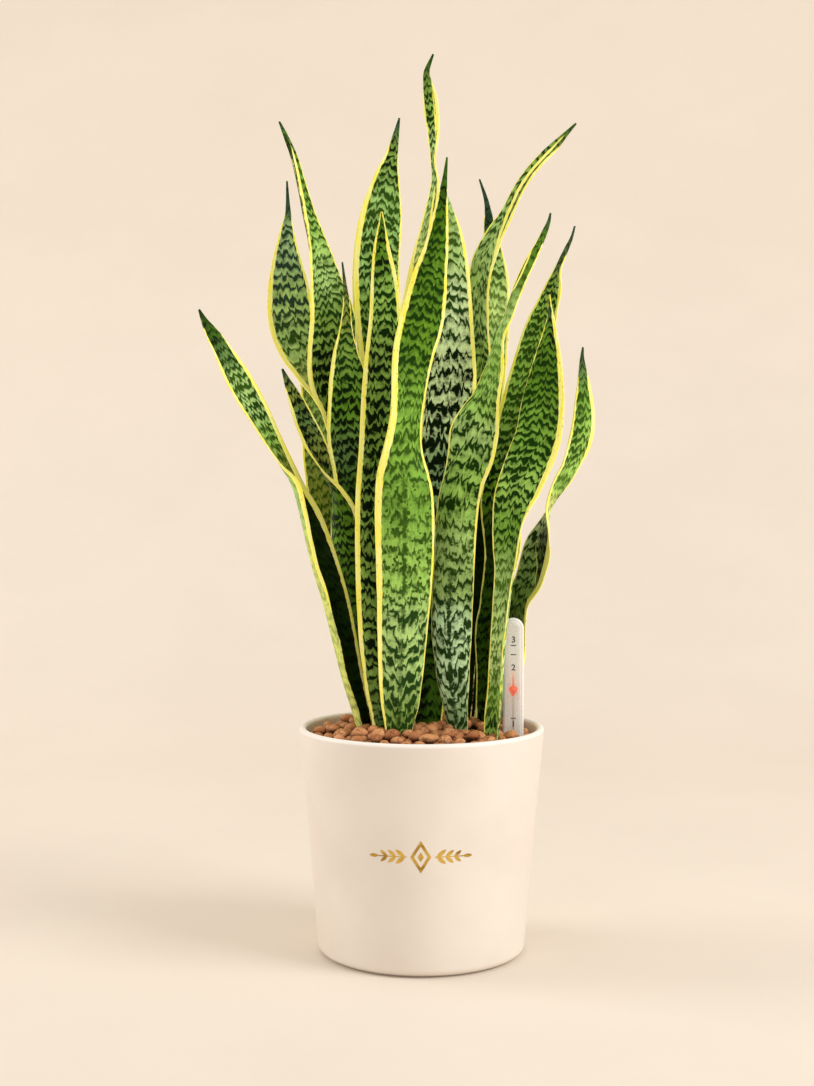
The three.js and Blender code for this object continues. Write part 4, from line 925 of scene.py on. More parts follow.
# Yellow margins from the tip down: (height, left width, right width), in mm
MARGINS = {
    "leaf_far_left": [(530, 1.5, 1.2), (500, 4.5, 3.5), (440, 5.5, 5), (400, 5, 6), (330, 3.5, 3),
                      (285, 0, 2.5), (200, 0, 2)],
    "leaf_left_short": [(490, 1.2, 1), (460, 3.5, 1.5), (410, 4, 2), (360, 4, 2.5), (200, 3, 2)],
    "leaf_left_tall": [(630, 0.6, 0.6), (605, 2.5, 1.8), (560, 4.6, 2.4), (500, 4.4, 2.6), (300, 3, 2)],
    "leaf_left_highest": [(700, 0, 0.4), (650, 0, 0.8), (600, 0, 1), (586, 4, 1), (540, 4, 1),
                          (460, 4, 1.5), (300, 3, 1.5)],
    "leaf_left_inner": [(575, 0.4, 0.3), (540, 1, 0.6), (500, 3.6, 0.6), (450, 3, 0.8), (300, 2, 1)],
    "leaf_left_hidden": [(520, 0.5, 0.5), (480, 1.5, 2), (430, 2, 2.5), (300, 2, 2)],
    "leaf_centre_left": [(630, 0.8, 0.8), (590, 2.6, 3.4), (540, 3.2, 3.4), (450, 4.2, 3.4),
                         (330, 4.2, 3), (200, 3, 2)],
    "leaf_front": [(665, 0.4, 0.4), (620, 2.4, 2), (560, 4.2, 2.6), (480, 5.4, 2.4), (420, 6.2, 2.4),
                   (330, 5.6, 2), (260, 4.4, 1.2), (190, 3, 0.8)],
    "leaf_back_broad": [(705, 0.4, 0.4), (670, 2.6, 0.8), (620, 5.4, 1.4), (560, 6, 1.8), (500, 6, 2)],
    "leaf_highest": [(750, 0.4, 0.6), (720, 1.6, 3), (690, 1.8, 3.4), (650, 2, 3.4), (615, 1.6, 7),
                     (595, 3, 14), (570, 6, 16), (535, 3, 6), (480, 2, 3.4)],
    "leaf_pale": [(640, 0.5, 1.4), (600, 1.5, 2.8), (540, 2, 3.4), (470, 2, 3), (380, 2, 2.4),
                  (250, 2, 2)],
    "leaf_back_right": [(640, 0.3, 0.3), (610, 1.2, 1), (570, 2.2, 2.2), (500, 2, 2.2), (400, 1, 1),
                        (340, 0, 0)],
    "leaf_arching_right": [(700, 0.3, 0.5), (675, 1, 3), (640, 1, 4.2), (600, 1.2, 3.6), (550, 1.2, 3),
                           (480, 1.4, 3), (400, 1, 1), (340, 0, 0)],
    "leaf_front_right": [(625, 0.4, 0.4), (600, 3, 0.8), (560, 3.6, 1.1), (500, 2.2, 2.6),
                         (420, 1.6, 3.4), (390, 1.4, 2), (300, 0.8, 0.8), (200, 0.5, 0.6)],
    "leaf_broad_right": [(555, 0.2, 0.5), (530, 0.6, 3), (490, 0.3, 4.4), (430, 0.4, 4.8),
                         (395, 0.9, 4), (350, 1.3, 1.4), (320, 1.2, 0.5), (200, 1.2, 0)],
    "leaf_behind_right": [(605, 0.3, 0.4), (570, 1.8, 3), (530, 2.2, 4), (480, 2.6, 3), (420, 1.6, 3),
                          (300, 1.3, 2), (200, 1.2, 1)],
    "leaf_far_right": [(505, 0.4, 0.6), (480, 1.6, 3.4), (440, 2, 4.6), (400, 2, 4), (385, 3, 2.4),
                       (365, 6, 1), (345, 8, 1), (310, 8.5, 1), (285, 6, 1), (240, 5, 1)],
}

# Folded stretches, where a margin is seen inside the leaf's outline, from the tip down:
# (height, place across the blade from -1 to 1, half width in mm, how fast painted shade darkens the
# blade beside it: below 0 to the left, above 0 to the right)
CREASES = {
    "leaf_arching_right": [(701, 0.3, 0, 0.05), (694, 0, 0.8, 0.05), (676, 0.05, 2.6, 0.05),
                           (652, -0.15, 3.4, 0.05), (635, 0, 3.2, 0.05), (618, 0.42, 2.8, 0.05),
                           (604, 0.75, 2.6, 0), (590, 0.9, 0, 0)],
    "leaf_left_highest": [(700, 0.5, 0, -0.6), (690, 0.4, 0.3, -0.8), (675, 0.1, 1.6, -1),
                          (643, -0.05, 2.2, -1), (626, -0.2, 2.4, -1), (611, -0.5, 2.6, -1),
                          (593, -0.82, 2.4, -1), (584, -0.95, 0, 0)],
    "leaf_front_right": [(604, -0.9, 0, -1), (598, -0.5, 1.2, -1), (592, -0.23, 2, -1),
                         (580, -0.16, 2.4, -1), (571, -0.3, 2.4, -1), (564, -0.9, 1, 0), (561, -1, 0, 0)],
    "leaf_highest": [(745, 0.7, 0, 0), (728, 0.45, 0.5, 0), (703, 0.42, 0.8, 0), (690, 0.5, 0, 0),
                     (660, 0.1, 0, 0), (645, 0.1, 1.2, 0.08), (620, 0.1, 1.5, 0.08), (590, 0.2, 1, 0)],
    "leaf_centre_left": [(440, 0, 0, 0), (410, 0, 0.25, 0.03), (340, 0, 0.3, 0.05),
                         (240, 0, 0.3, 0.05), (200, 0, 0.2, 0)],
    "leaf_far_right": [(372, 0.6, 0, 0), (354, 0.38, 0.4, -0.1), (325, -0.2, 0.5, -0.2),
                       (312, -0.55, 0.4, -0.2), (296, -0.8, 0, 0)],
}
YELLOW_TIPS = {"leaf_centre_left", "leaf_broad_right"}  # these keep their margins to the tip
RUN_OUT = {"width": 2.5, "height": 34}  # how the other margins end under the tip, in mm


# %% Mixing the zones
def between(rows, height):
    """The two listed rows on either side of a height, and how far it lies towards the lower one."""
    if height >= rows[0][0]:
        return rows[0], rows[0], 0.0
    for upper, lower in zip(rows, rows[1:]):
        if height >= lower[0]:
            share = (upper[0] - height) / (upper[0] - lower[0])
            return upper, lower, share * share * (3 - 2 * share)
    return rows[-1], rows[-1], 0.0


def lerp(a, b, share):
    return a + (b - a) * share


def zone_colours(rows, height):
    """The ground, the band and the five numbers after them, at a height."""
    upper, lower, share = between(rows, height)
    mixed = [[lerp(p, q, share) for p, q in zip(GREENS[upper[k]], GREENS[lower[k]])] for k in (1, 2)]
    return mixed[0], mixed[1], [lerp(upper[k], lower[k], share) for k in range(3, 8)]


def margin_widths(rows, height, tip_height):
    """Left and right margin; both run out just under the tip, which is green to its edges."""
    upper, lower, share = between(rows, height)
    run_out = RUN_OUT["width"] * max(0.0, 1 - (tip_height - height) / RUN_OUT["height"])
    return [lerp(upper[k], lower[k], share) - run_out for k in (1, 2)]


def crease_at(rows, height, half):
    """A fold's place in mm from the middle line, its half width and how fast painted shade darkens beside
    it, or three zeros.
    """
    if not rows or height > rows[0][0] or height < rows[-1][0]:
        return [0.0, 0.0, 0.0]
    upper, lower, share = between(rows, height)
    place, width, side = (lerp(upper[k], lower[k], share) for k in (1, 2, 3))
    return [place * half, width, side]


# %% [markdown]
# ## Leaves: the banded finish
#
# One node group draws every leaf. It starts from the band count and bends it three ways: a broad
# noise makes the bands wander, a folded wave across the blade gives them their zigzag, and a tall
# narrow noise frays their edges. The bent count drives a wave that falls faster than it climbs, so
# that one edge of a band is sharper than the other. The wave is cut at two levels, for a dark core
# and a softer shoulder. Patches where the bands swell or break, fine lines in between, specks, a dark
# spine and the yellow margins come after. The margins are thin enough to let some light through, and
# they glow faintly in their own colour: painted light, which also keeps them bright where they lie in
# shade. The group puts out colours and values only, so two materials can share it: one for the green
# leaves, one for the silvery leaf.

# %% The banded blade group
def banded_blade():
    group = bpy.data.node_groups.new("banded_blade", "ShaderNodeTree")
    face = group.interface
    for name, kind in (("Blade", "Vector"), ("Marks", "Vector"), ("Edges", "Vector"), ("Crease", "Vector"),
                       ("Band", "Float"), ("Spine", "Float"), ("Ground", "Color"), ("Stripe", "Color"),
                       ("Yellow", "Color"), ("Pale Yellow", "Color"), ("Zigzag", "Float"),
                       ("Wander", "Float")):
        face.new_socket(name, in_out="INPUT", socket_type="NodeSocket" + kind)
    for name, kind in (("Color", "Color"), ("Roughness", "Float"), ("Height", "Float"), ("Glow", "Color")):
        face.new_socket(name, in_out="OUTPUT", socket_type="NodeSocket" + kind)
    given = group.nodes.new("NodeGroupInput").outputs
    made = group.nodes.new("NodeGroupOutput").inputs

    def centred(value, size):
        """A value from 0 to 1 as one from -size / 2 to size / 2."""
        return calc(group, "MULTIPLY", calc(group, "SUBTRACT", value, 0.5), size)

    def folded(value):
        """A zigzag from -1 to 1 that goes up and down once as value grows by 2."""
        return calc(group, "MULTIPLY_ADD", calc(group, "PINGPONG", value, 1.0), 2.0, -1.0)

    x, _, half = parts_of(group, given["Blade"])
    strength, droop, specks = parts_of(group, given["Marks"])
    left, right, seed = parts_of(group, given["Edges"])
    crease_x, crease_width, fold_shade_side = parts_of(group, given["Crease"])
    shift = group.nodes.new("ShaderNodeCombineXYZ")
    feed(group, shift.inputs["Z"], seed)
    flat = group.nodes.new("ShaderNodeVectorMath")
    flat.operation = "ADD"
    feed(group, flat.inputs[0], stretched(group, given["Blade"], (1, 1, 0)))
    feed(group, flat.inputs[1], shift.outputs[0])
    skin = flat.outputs[0]

    def skin_noise(across, along, detail):
        """Soft noise on the blade's own map, with so many waves to a millimetre each way."""
        return cloud(group, stretched(group, skin, (across, along, 1)), detail=detail)

    wander = centred(skin_noise(0.045, 0.03, 1), 2)
    loose = centred(skin_noise(0.12, 0.05, 1), 5)
    fray = centred(skin_noise(0.5, 0.42, 2), 2)
    patch = skin_noise(0.075, 0.075, 2)
    clump = skin_noise(0.2, 0.26, 2)
    streak = skin_noise(1.1, 0.012, 2)

    big_fold = folded(calc(group, "MULTIPLY_ADD", x, 0.29, loose))
    small_fold = folded(calc(group, "MULTIPLY_ADD", x, 0.62, calc(group, "MULTIPLY", loose, 1.7)))
    across = calc(group, "DIVIDE", calc(group, "ABSOLUTE", x), calc(group, "MAXIMUM", half, 1.0))
    count = calc(group, "MULTIPLY_ADD", across, droop, given["Band"])
    count = calc(group, "MULTIPLY_ADD", wander, given["Wander"], count)
    zigzag = calc(group, "MULTIPLY_ADD", small_fold, 0.24, big_fold)
    count = calc(group, "MULTIPLY_ADD", zigzag, given["Zigzag"], count)
    count = calc(group, "MULTIPLY_ADD", fray, 0.16, count)
    turn = calc(group, "MULTIPLY", count, math.tau)
    steep = calc(group, "SINE", calc(group, "MULTIPLY", turn, 2.0))
    wave = calc(group, "MULTIPLY_ADD", steep, -0.36, calc(group, "SINE", turn))
    lifted = calc(group, "ADD", wave, calc(group, "ADD", centred(patch, 3.4), centred(clump, 2.6)))
    lifted = calc(group, "ADD", lifted, calc(group, "MULTIPLY_ADD", strength, 1.3, -1.3))
    shoulder = ramp(group, lifted, -0.25, 0.2)
    core = ramp(group, lifted, 0.3, 0.55)
    bands = calc(group, "MULTIPLY_ADD", core, 0.5, calc(group, "MULTIPLY", shoulder, 0.5))
    bands = calc(group, "MULTIPLY", bands, calc(group, "ADD", strength, 0.3), clamp=True)

    finer = calc(group, "SINE", calc(group, "MULTIPLY_ADD", count, math.tau * 2.4, calc(
        group, "MULTIPLY", loose, 2.0)))
    hairline = calc(group, "MULTIPLY", ramp(group, finer, 0.78, 0.95), ramp(group, clump, 0.47, 0.56))
    hairline = calc(group, "MULTIPLY", hairline, calc(group, "MULTIPLY", strength, 0.22))

    dots = group.nodes.new("ShaderNodeTexVoronoi")
    feed(group, dots.inputs["Vector"], stretched(group, skin, (0.27, 0.22, 1)))
    dots.inputs["Scale"].default_value = 1.0
    size = ramp(group, clump, 0.35, 0.65, 0.2, 0.46, smooth=False)
    near = calc(group, "LESS_THAN", dots.outputs["Distance"], size)
    some = ramp(group, patch, 0.36, 0.5)
    dotted = calc(group, "MULTIPLY", calc(group, "MULTIPLY", near, some), specks)

    off_line = calc(group, "ABSOLUTE", calc(group, "MULTIPLY_ADD", fray, 2.4, x))
    along_spine = ramp(group, skin_noise(0.1, 0.1, 2), 0.4, 0.5)
    spine = calc(group, "MULTIPLY", ramp(group, off_line, 1.2, 2.6, 1.0, 0.0), along_spine)
    spine = calc(group, "MULTIPLY", spine, given["Spine"])

    dark = calc(group, "MAXIMUM", calc(group, "MAXIMUM", bands, hairline), dotted)
    dark = calc(group, "MAXIMUM", dark, spine)
    green = blend(group, dark, given["Ground"], given["Stripe"])
    bright = ramp(group, lifted, -1.3, -0.3, 1.35, 1.0)
    tone = calc(group, "MULTIPLY_ADD", streak, 0.6, 0.67)
    tone = calc(group, "MULTIPLY", tone, ramp(group, patch, 0.3, 0.7, 1.16, 0.84, smooth=False))
    # painted shade: the blade darkens on one side of a fold line
    off_crease = calc(group, "SUBTRACT", x, crease_x)
    painted_fold_shade = ramp(group, calc(group, "MULTIPLY", off_crease, fold_shade_side), 0.0, 0.5, 1.0, 0.3)
    tone = calc(group, "MULTIPLY", calc(group, "MULTIPLY", tone, bright), painted_fold_shade)
    green = blend(group, 1.0, green, tone, mode="MULTIPLY")

    jitter = centred(skin_noise(0.2, 0.16, 3), 2.4)
    from_left = calc(group, "ADD", calc(group, "ADD", half, x), jitter)
    from_right = calc(group, "ADD", calc(group, "SUBTRACT", half, x), jitter)
    inside = calc(group, "MINIMUM", calc(group, "SUBTRACT", from_left, left),
                  calc(group, "SUBTRACT", from_right, right))
    leafy = ramp(group, inside, -0.35, 0.35)
    on_crease = calc(group, "SUBTRACT", calc(group, "ADD", calc(group, "ABSOLUTE", off_crease), calc(
        group, "MULTIPLY", jitter, 0.3)), crease_width)
    folded_line = calc(group, "MULTIPLY", ramp(group, on_crease, -0.4, 0.4, 1.0, 0.0),
                       ramp(group, crease_width, 0.1, 0.6))
    leafy = calc(group, "MULTIPLY", leafy, calc(group, "SUBTRACT", 1.0, folded_line))
    flecks = ramp(group, skin_noise(0.4, 0.28, 3), 0.58, 0.7)
    glow = ramp(group, skin_noise(0.9, 0.03, 2), 0.38, 0.6)
    yellow = blend(group, glow, given["Pale Yellow"], given["Yellow"])
    yellow = blend(group, calc(group, "MULTIPLY", flecks, 0.45), yellow, tint(176, 150, 36))
    finished = blend(group, leafy, yellow, green)
    feed(group, made["Color"], finished)
    feed(group, made["Roughness"], ramp(group, patch, 0.3, 0.7, 0.4, 0.54))
    feed(group, made["Height"], calc(group, "ADD", calc(group, "MULTIPLY", streak, 0.8),
                                     calc(group, "MULTIPLY", fray, 0.25)))
    feed(group, made["Glow"], blend(group, leafy, finished, tint(0, 0, 0)))
    return group


# %% Two leaf materials
BANDED = banded_blade()
BLADE_MAP = {  # what each blade keeps on its points for the finish to read
    "blade": "FLOAT_VECTOR", "marks": "FLOAT_VECTOR", "edges": "FLOAT_VECTOR",
    "crease": "FLOAT_VECTOR", "band": "FLOAT", "spine": "FLOAT", "ground": "FLOAT_COLOR",
    "stripe": "FLOAT_COLOR",
}
READ_AS = {"FLOAT": "Fac", "FLOAT_VECTOR": "Vector", "FLOAT_COLOR": "Color"}
MARGIN_YELLOW, MARGIN_PALE = tint(254, 242, 84), tint(255, 251, 164)
MARGIN_GLOW = 0.11


def leaf_finish(name, zigzag, wander):
    material, tree, shader = new_material(name)
    group = tree.nodes.new("ShaderNodeGroup")
    group.node_tree = BANDED
    for key, kind in BLADE_MAP.items():
        feed(tree, group.inputs[key.capitalize()], stored(tree, key, READ_AS[kind]))
    for socket, value in (("Zigzag", zigzag), ("Wander", wander), ("Yellow", MARGIN_YELLOW),
                          ("Pale Yellow", MARGIN_PALE)):
        group.inputs[socket].default_value = value
    feed(tree, shader.inputs["Base Color"], group.outputs["Color"])
    feed(tree, shader.inputs["Roughness"], group.outputs["Roughness"])
    # painted light: the yellow margins glow faintly in their own colour
    feed(tree, shader.inputs["Emission Color"], group.outputs["Glow"])
    shader.inputs["Emission Strength"].default_value = MARGIN_GLOW
    shader.inputs["Specular IOR Level"].default_value = 0.05
    feed(tree, shader.inputs["Normal"], bump(tree, group.outputs["Height"], 0.0006, 0.5))
    return material


STRIPED = leaf_finish("striped_leaf", 0.25, 0.7)
PALE = leaf_finish("pale_striped_leaf", 0.24, 0.4)

# %% [markdown]
# ## Leaves: the blades
#
# A blade starts as a flat grid whose two directions are across and along the leaf. Every point is
# carried to its place, half the leaf's thickness to the near side. The whole sheet is then extruded
# and the copy is carried to the far side, which closes the edges as well. The map that the finish
# reads is written on the points at the end, from the same two directions.

# %% Make a blade
ACROSS_CELLS = 20
ROWS_PER_STATION = 8


def row_list(stations):
    """The rows of a blade from the foot up, each with its length along the blade."""
    last = len(stations) - 1
    steps = last * ROWS_PER_STATION
    rows = [blade_row(stations, last * i / steps) for i in range(steps + 1)]
    length = 0.0
    for lower, row in zip([rows[0], *rows], rows):
        length += (row["middle"] - lower["middle"]).length
        row["length"] = length
    return rows


def count_bands(rows, zones):
    """Adds to each row a count that goes up by one from band to band, from the foot upwards."""
    count = 0.0
    lower = rows[0]
    for row in rows:
        spacing = zone_colours(zones, row["sighted"])[2][1]
        count += (row["length"] - lower["length"]) / spacing
        row["band"] = count
        lower = row


def make_blade(name, seed):
    rows = row_list(true_stations(LEAVES[name]))
    count_bands(rows, ZONES[name])
    bm = bmesh.new()
    keep_u = bm.verts.layers.float.new("across")
    keep_row = bm.verts.layers.int.new("row")
    keep_far = bm.verts.layers.int.new("far")
    grid = bmesh.ops.create_grid(bm, x_segments=ACROSS_CELLS, y_segments=len(rows) - 1, size=1)
    for vert in grid["verts"]:
        vert[keep_u] = vert.co.x
        vert[keep_row] = round((vert.co.y + 1) / 2 * (len(rows) - 1))
    for vert in verts_in(bmesh.ops.extrude_face_region(bm, geom=bm.faces[:])):
        vert[keep_far] = 1
    for vert in bm.verts:
        row, u = rows[vert[keep_row]], vert[keep_u]
        spot, normal = blade_point(row, u, seed, row["length"])
        body = (LEAF_MARGIN + (row["thick"] - LEAF_MARGIN) * (1 - u * u)) / 2
        vert.co = (spot + normal * (-body if vert[keep_far] else body)) * MM
    bmesh.ops.recalc_face_normals(bm, faces=bm.faces[:])
    pale = name == "leaf_pale"
    blade = piece_from(bm, name + "_blade", PALE if pale else STRIPED, name)
    write_map(blade.data, rows, name, seed)
    return blade


def write_map(mesh, rows, name, seed):
    """Writes what the finish reads on every point of a blade."""
    found = {key: mesh.attributes[key].data for key in ("across", "row", "far")}
    us, picks, fars = ([item.value for item in found[key]] for key in ("across", "row", "far"))
    sides = (ZONES[name], OUTSIDES.get(name, ZONES[name]))
    looks = [[zone_colours(zones, row["sighted"]) for row in rows] for zones in sides]
    tip = rows[-1]["sighted"] + (2 * RUN_OUT["height"] if name in YELLOW_TIPS else 0)
    widths = [margin_widths(MARGINS[name], row["sighted"], tip) for row in rows]
    creases = [crease_at(CREASES.get(name), row["sighted"], row["half"]) for row in rows]
    columns = {key: [] for key in BLADE_MAP}
    for u, pick, far in zip(us, picks, fars):
        row = rows[pick]
        ground, stripe, (strength, _, droop, specks, spine) = looks[far][pick]
        columns["blade"] += [u * row["half"], row["length"], row["half"]]
        columns["marks"] += [strength, droop, specks]
        columns["edges"] += [*widths[pick], seed * 17.0]
        columns["crease"] += creases[pick]
        columns["band"].append(row["band"])
        columns["spine"].append(spine)
        columns["ground"] += ground
        columns["stripe"] += stripe
    fields = {"FLOAT": "value", "FLOAT_VECTOR": "vector", "FLOAT_COLOR": "color"}
    for key, kind in BLADE_MAP.items():
        mesh.attributes.new(key, kind, "POINT").data.foreach_set(fields[kind], columns[key])


# %% All the leaves
for number, name in enumerate(LEAVES):
    blade = make_blade(name, number + 1)
print("last blade faces:", len(blade.data.polygons))

# %% [markdown]
# ## Water gauge
#
# The gauge is a closed tube of frosted plastic. A float at its foot carries a thin rod with a red
# pointer, which is read against marks printed on the tube. The far half of the tube is milky, so that
# the leaves don't show through it, and the near half is clearer, so that the pointer does. Both are
# one material: a coat that lets light through at the front and closes towards the back.

# %% Frosted tube
GAUGE = {"radius": 9, "wall": 1.4, "top": 288.5, "bottom": 72, "lip": 3.2}
FLOAT = {"radius": 6.3, "bottom": 97, "height": 33, "bore": 1.3, "bore_depth": 12}
POINTER = {"rod": 1.0, "low": 221.5, "high": 230.5, "radius": 3.9, "stem_top": 243, "stem": 0.75}


def frosted_plastic():
    material, tree, shader = new_material("frosted_plastic")
    place = object_place(tree)
    frost = cloud(tree, place, scale=700, detail=2)
    back = (GAUGE_PLACE[1] - 0.3 * GAUGE["radius"]) * MM
    front = (GAUGE_PLACE[1] - 0.85 * GAUGE["radius"]) * MM
    cover = ramp(tree, parts_of(tree, place)["Y"], front, back, 0.06, 1.0)
    cover = calc(tree, "ADD", cover, ramp(tree, frost, 0.3, 0.7, -0.015, 0.015), clamp=True)
    feed(tree, shader.inputs["Base Color"], blend(tree, frost, tint(248, 245, 240), tint(253, 251, 247)))
    feed(tree, shader.inputs["Roughness"], ramp(tree, frost, 0.3, 0.7, 0.22, 0.3))
    feed(tree, shader.inputs["Alpha"], cover)
    # painted light: a faint glow in the tube's own white brightens it, standing for light carried through
    # the frosted plastic
    shader.inputs["Emission Color"].default_value = tint(255, 248, 238)
    shader.inputs["Emission Strength"].default_value = 0.07
    feed(tree, shader.inputs["Normal"], bump(tree, frost, 0.0002, 0.1))
    return material


radius, wall = GAUGE["radius"], GAUGE["wall"]
dome_z = GAUGE["top"] - radius
tube_outline = [
    *arc(0, dome_z, radius - wall, 90, 0, 10),
    (radius - wall, GAUGE["bottom"] + 2), (GAUGE["lip"], GAUGE["bottom"] + 1),
    (GAUGE["lip"], GAUGE["bottom"]), (radius - 0.8, GAUGE["bottom"]), (radius, GAUGE["bottom"] + 0.8),
    *arc(0, dome_z, radius, 0, 90, 12),
]
tube_outline[0] = (0, tube_outline[0][1])
tube_outline[-1] = (0, tube_outline[-1][1])
FROSTED = frosted_plastic()
tube = piece_from(turned(tube_outline, 56, GAUGE_PLACE), "gauge_tube_frosted", FROSTED,
                  "gauge_tube")
print("tube faces:", len(tube.data.polygons))

# %% [markdown]
# The pointer is a small rounded drop, point down, on its rod. It and the float are turned shapes as
# well. Both ride on the float's body, so that they rise and sink together.

# %% Pointer and float
def moulded(name, dark, light, roughness):
    material, tree, shader = new_material(name)
    swirl = cloud(tree, object_place(tree), scale=260, detail=2)
    feed(tree, shader.inputs["Base Color"], blend(tree, swirl, dark, light))
    feed(tree, shader.inputs["Roughness"], ramp(tree, swirl, 0.3, 0.7, roughness, roughness + 0.1))
    feed(tree, shader.inputs["Normal"], bump(tree, swirl, 0.0002, 0.3))
    return material


def pointer_red():
    """Red on the pointer, fading up its stem, and milky white on the rod that carries it. The pointer and
    its stem also glow faintly in their own colour, which is painted light.
    """
    material, tree, shader = new_material("red_plastic")
    place = object_place(tree)
    swirl = cloud(tree, place, scale=260, detail=2)
    height = parts_of(tree, place)["Z"]
    red = blend(tree, swirl, tint(250, 70, 4), tint(255, 92, 12))
    faded = blend(tree, ramp(tree, height, POINTER["high"] * MM, POINTER["stem_top"] * MM), red,
                  tint(248, 200, 170))
    rod = ramp(tree, height, (POINTER["low"] - 0.4) * MM, POINTER["low"] * MM)
    feed(tree, shader.inputs["Base Color"], blend(tree, rod, tint(226, 218, 208), faded))
    # painted light: the pointer and its stem glow faintly in their own colour
    feed(tree, shader.inputs["Emission Color"], faded)
    feed(tree, shader.inputs["Emission Strength"], calc(tree, "MULTIPLY", rod, 0.22))
    feed(tree, shader.inputs["Roughness"], ramp(tree, swirl, 0.3, 0.7, 0.35, 0.45))
    feed(tree, shader.inputs["Normal"], bump(tree, swirl, 0.0002, 0.3))
    return material


FOAM = moulded("white_foam", tint(232, 230, 222), tint(244, 242, 236), 0.65)
low, high, reach = POINTER["low"], POINTER["high"], POINTER["radius"]
foot = FLOAT["bottom"] + FLOAT["height"] - FLOAT["bore_depth"] + GAP
shoulder = low + 0.62 * (high - low)
pointer_outline = [
    (0, foot), (POINTER["rod"], foot), (POINTER["rod"], low - 0.1), (0.32 * reach, low + 1.0),
    (0.6 * reach, low + 2.4), (0.86 * reach, low + 4.0), *arc(0.4 * reach, shoulder, 0.6 * reach, 0, 80, 6),
    (0.22 * reach, high), (POINTER["stem"], high + 0.2), (POINTER["stem"], POINTER["stem_top"] - 0.3),
    (POINTER["stem"] - 0.3, POINTER["stem_top"]), (0, POINTER["stem_top"]),
]
pointer = piece_from(turned(pointer_outline, 32, GAUGE_PLACE), "gauge_pointer_red", pointer_red(),
                     "gauge_pointer", body="float")
top = FLOAT["bottom"] + FLOAT["height"]
float_outline = [
    (0, FLOAT["bottom"]), *arc(FLOAT["radius"] - 1, FLOAT["bottom"] + 1, 1, -90, 0, 4),
    *arc(FLOAT["radius"] - 1, top - 1, 1, 0, 90, 4), (FLOAT["bore"], top),
    (FLOAT["bore"], top - FLOAT["bore_depth"]), (0, top - FLOAT["bore_depth"]),
]
float_piece = piece_from(turned(float_outline, 40, GAUGE_PLACE), "gauge_float_foam", FOAM, "gauge_float",
                         body="float")
print("pointer and float faces:", len(pointer.data.polygons), len(float_piece.data.polygons))

# %% [markdown]
# The marks are a short line at each level and a number beside it, printed in grey. Text gives clean
# numbers, but it is a curve, so it is made a mesh first and then wrapped round the tube in the way
# that the ornament was wrapped round the pot.

# %% Printed marks
MARKS = {"turn": -2.6, "proud": 0.08, "digit": 5.2, "bold": 0.12, "line": (4.6, 0.8), "thick": 0.2}
LEVELS = [265.6, 257.8, 203.4]
NUMBERS = [("3", 270.4), ("2", 246.6), ("1", 198.4)]
INK = moulded("grey_print", tint(36, 34, 32), tint(54, 51, 48), 0.5)


def digit_mesh(text):
    curve = bpy.data.curves.new("digit_" + text, "FONT")
    curve.body = text
    curve.size = MARKS["digit"] * 1.4
    curve.offset = MARKS["bold"]
    curve.align_x, curve.align_y = "CENTER", "CENTER"
    holder = bpy.data.objects.new("digit_" + text, curve)
    bpy.context.scene.collection.objects.link(holder)
    mesh = bpy.data.meshes.new_from_object(holder.evaluated_get(bpy.context.evaluated_depsgraph_get()))
    bpy.data.objects.remove(holder)
    return mesh


bm = bmesh.new()
width, thickness = MARKS["line"]
for z in LEVELS:
    line = bmesh.ops.create_grid(bm, x_segments=4, y_segments=1, size=0.5)
    for vert in line["verts"]:
        vert.co = Vector((vert.co.x * width, 0, z + vert.co.y * thickness))
for text, z in NUMBERS:
    mesh = digit_mesh(text)
    mesh.transform(Matrix.Translation((0, 0, z)) @ Matrix.Rotation(math.pi / 2, 4, "X"))
    bm.from_mesh(mesh)
bmesh.ops.remove_doubles(bm, verts=bm.verts[:], dist=1e-4)
for vert in verts_in(bmesh.ops.extrude_face_region(bm, geom=bm.faces[:])):
    vert.co.y = -MARKS["thick"]
for vert in bm.verts:
    angle = math.radians(MARKS["turn"]) + vert.co.x / radius
    reach = radius + MARKS["proud"] + vert.co.y
    vert.co = Vector((GAUGE_PLACE[0] + math.sin(angle) * reach, GAUGE_PLACE[1] - math.cos(angle) * reach,
                      vert.co.z)) * MM
bmesh.ops.recalc_face_normals(bm, faces=bm.faces[:])
marks = piece_from(bm, "gauge_marks", INK, smooth=False)
print("mark faces:", len(marks.data.polygons))

# %% [markdown]
# ## Rhizome
#
# The creeping stem lies out of sight under the pebbles, and its solid is right as it is. It keeps its
# mesh and gets a finish: a pale root skin with rings.

# %% Root skin
def root_skin():
    material, tree, shader = new_material("root_skin")
    place = object_place(tree)
    rings = cloud(tree, stretched(tree, place, (300, 300, 900)), detail=2)
    feed(tree, shader.inputs["Base Color"], blend(tree, rings, tint(176, 138, 92), tint(214, 184, 140)))
    feed(tree, shader.inputs["Roughness"], ramp(tree, rings, 0.3, 0.7, 0.7, 0.85))
    feed(tree, shader.inputs["Normal"], bump(tree, rings, 0.001, 0.5))
    return material


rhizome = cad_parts["rhizome"]
rhizome.data.materials.clear()
rhizome.data.materials.append(root_skin())
print("rhizome faces:", len(rhizome.data.polygons))

# %% [markdown]
# ## Studio
#
# The plant stands on a sheet of warm paper that curves up behind it, so there is no horizon. Light
# comes from a broad lamp in front and to the right, with a softer one from the left to open the
# shadows and a faint one from above that picks out the pebbles' tops. The paper is part of the stage
# and not of the plant.

# %% Paper, lamps and sky
def paper():
    material, tree, shader = new_material("warm_paper")
    place = object_place(tree)
    cloudy = cloud(tree, stretched(tree, place, (3.5, 3.5, 6)), detail=4, roughness=0.6)
    feed(tree, shader.inputs["Base Color"], blend(tree, ramp(tree, cloudy, 0.3, 0.7), tint(229, 218, 204),
                                                  tint(232, 221, 207)))
    feed(tree, shader.inputs["Roughness"], ramp(tree, cloudy, 0.3, 0.7, 0.9, 0.95))
    return material


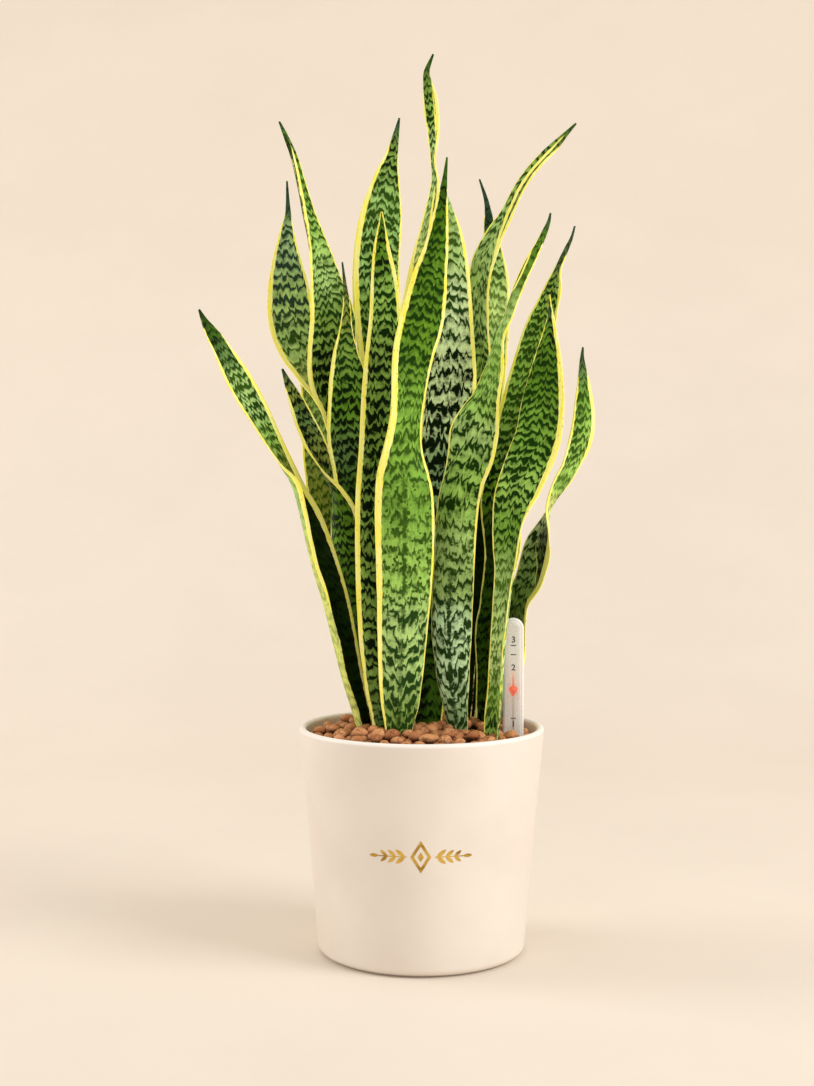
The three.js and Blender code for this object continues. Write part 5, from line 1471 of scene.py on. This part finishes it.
SHEET = {"front": -4.0, "bend": 0.9, "top": 5.0, "width": 10}  # metres; the bend's radius is one
bm = bmesh.new()
bend = [math.radians(6 * i) for i in range(1, 16)]
sweep = [(SHEET["front"], 0.0), (0.0, 0.0), (SHEET["bend"], 0.0)]
sweep += [(SHEET["bend"] + math.sin(a), 1.0 - math.cos(a)) for a in bend]
sweep += [(SHEET["bend"] + 1.0, SHEET["top"])]
points = [bm.verts.new((-SHEET["width"] / 2, y, z)) for y, z in sweep]
edges = [bm.edges.new(pair) for pair in zip(points, points[1:])]
wide = bmesh.ops.extrude_edge_only(bm, edges=edges)
bmesh.ops.translate(bm, vec=(SHEET["width"], 0, 0), verts=verts_in(wide))
bmesh.ops.recalc_face_normals(bm, faces=bm.faces[:])
mesh = bpy.data.meshes.new("backdrop")
bm.to_mesh(mesh)
bm.free()
mesh.polygons.foreach_set("use_smooth", [True] * len(mesh.polygons))
mesh.materials.append(paper())
backdrop = bpy.data.objects.new("backdrop", mesh)
bpy.context.scene.collection.objects.link(backdrop)


def lamp(name, place, aim, size, power, colour):
    """A square lamp at a place, turned to shine on another."""
    data = bpy.data.lights.new(name, "AREA")
    data.size = size
    data.energy = power
    data.color = colour
    light = bpy.data.objects.new(name, data)
    light.location = place
    light.rotation_euler = (Vector(aim) - Vector(place)).to_track_quat("-Z", "Y").to_euler()
    bpy.context.scene.collection.objects.link(light)


lamp("key", (2.2, -1.15, 1.9), (0, 0, 0.3), 1.5, 50, (1.0, 0.99, 0.975))
lamp("side", (-2.3, 0.35, 1.1), (0, 0, 0.25), 1.2, 20, (1.0, 0.98, 0.95))
lamp("top", (-0.5, 0.25, 2.3), (0, 0, 0.2), 0.7, 4, (1.0, 0.985, 0.96))
sky = bpy.data.worlds.new("sky")
sky.use_nodes = True
sky.node_tree.nodes["Background"].inputs["Color"].default_value = tint(255, 250, 244)
sky.node_tree.nodes["Background"].inputs["Strength"].default_value = 0.7
bpy.context.scene.world = sky
bpy.context.scene.view_settings.view_transform = "Standard"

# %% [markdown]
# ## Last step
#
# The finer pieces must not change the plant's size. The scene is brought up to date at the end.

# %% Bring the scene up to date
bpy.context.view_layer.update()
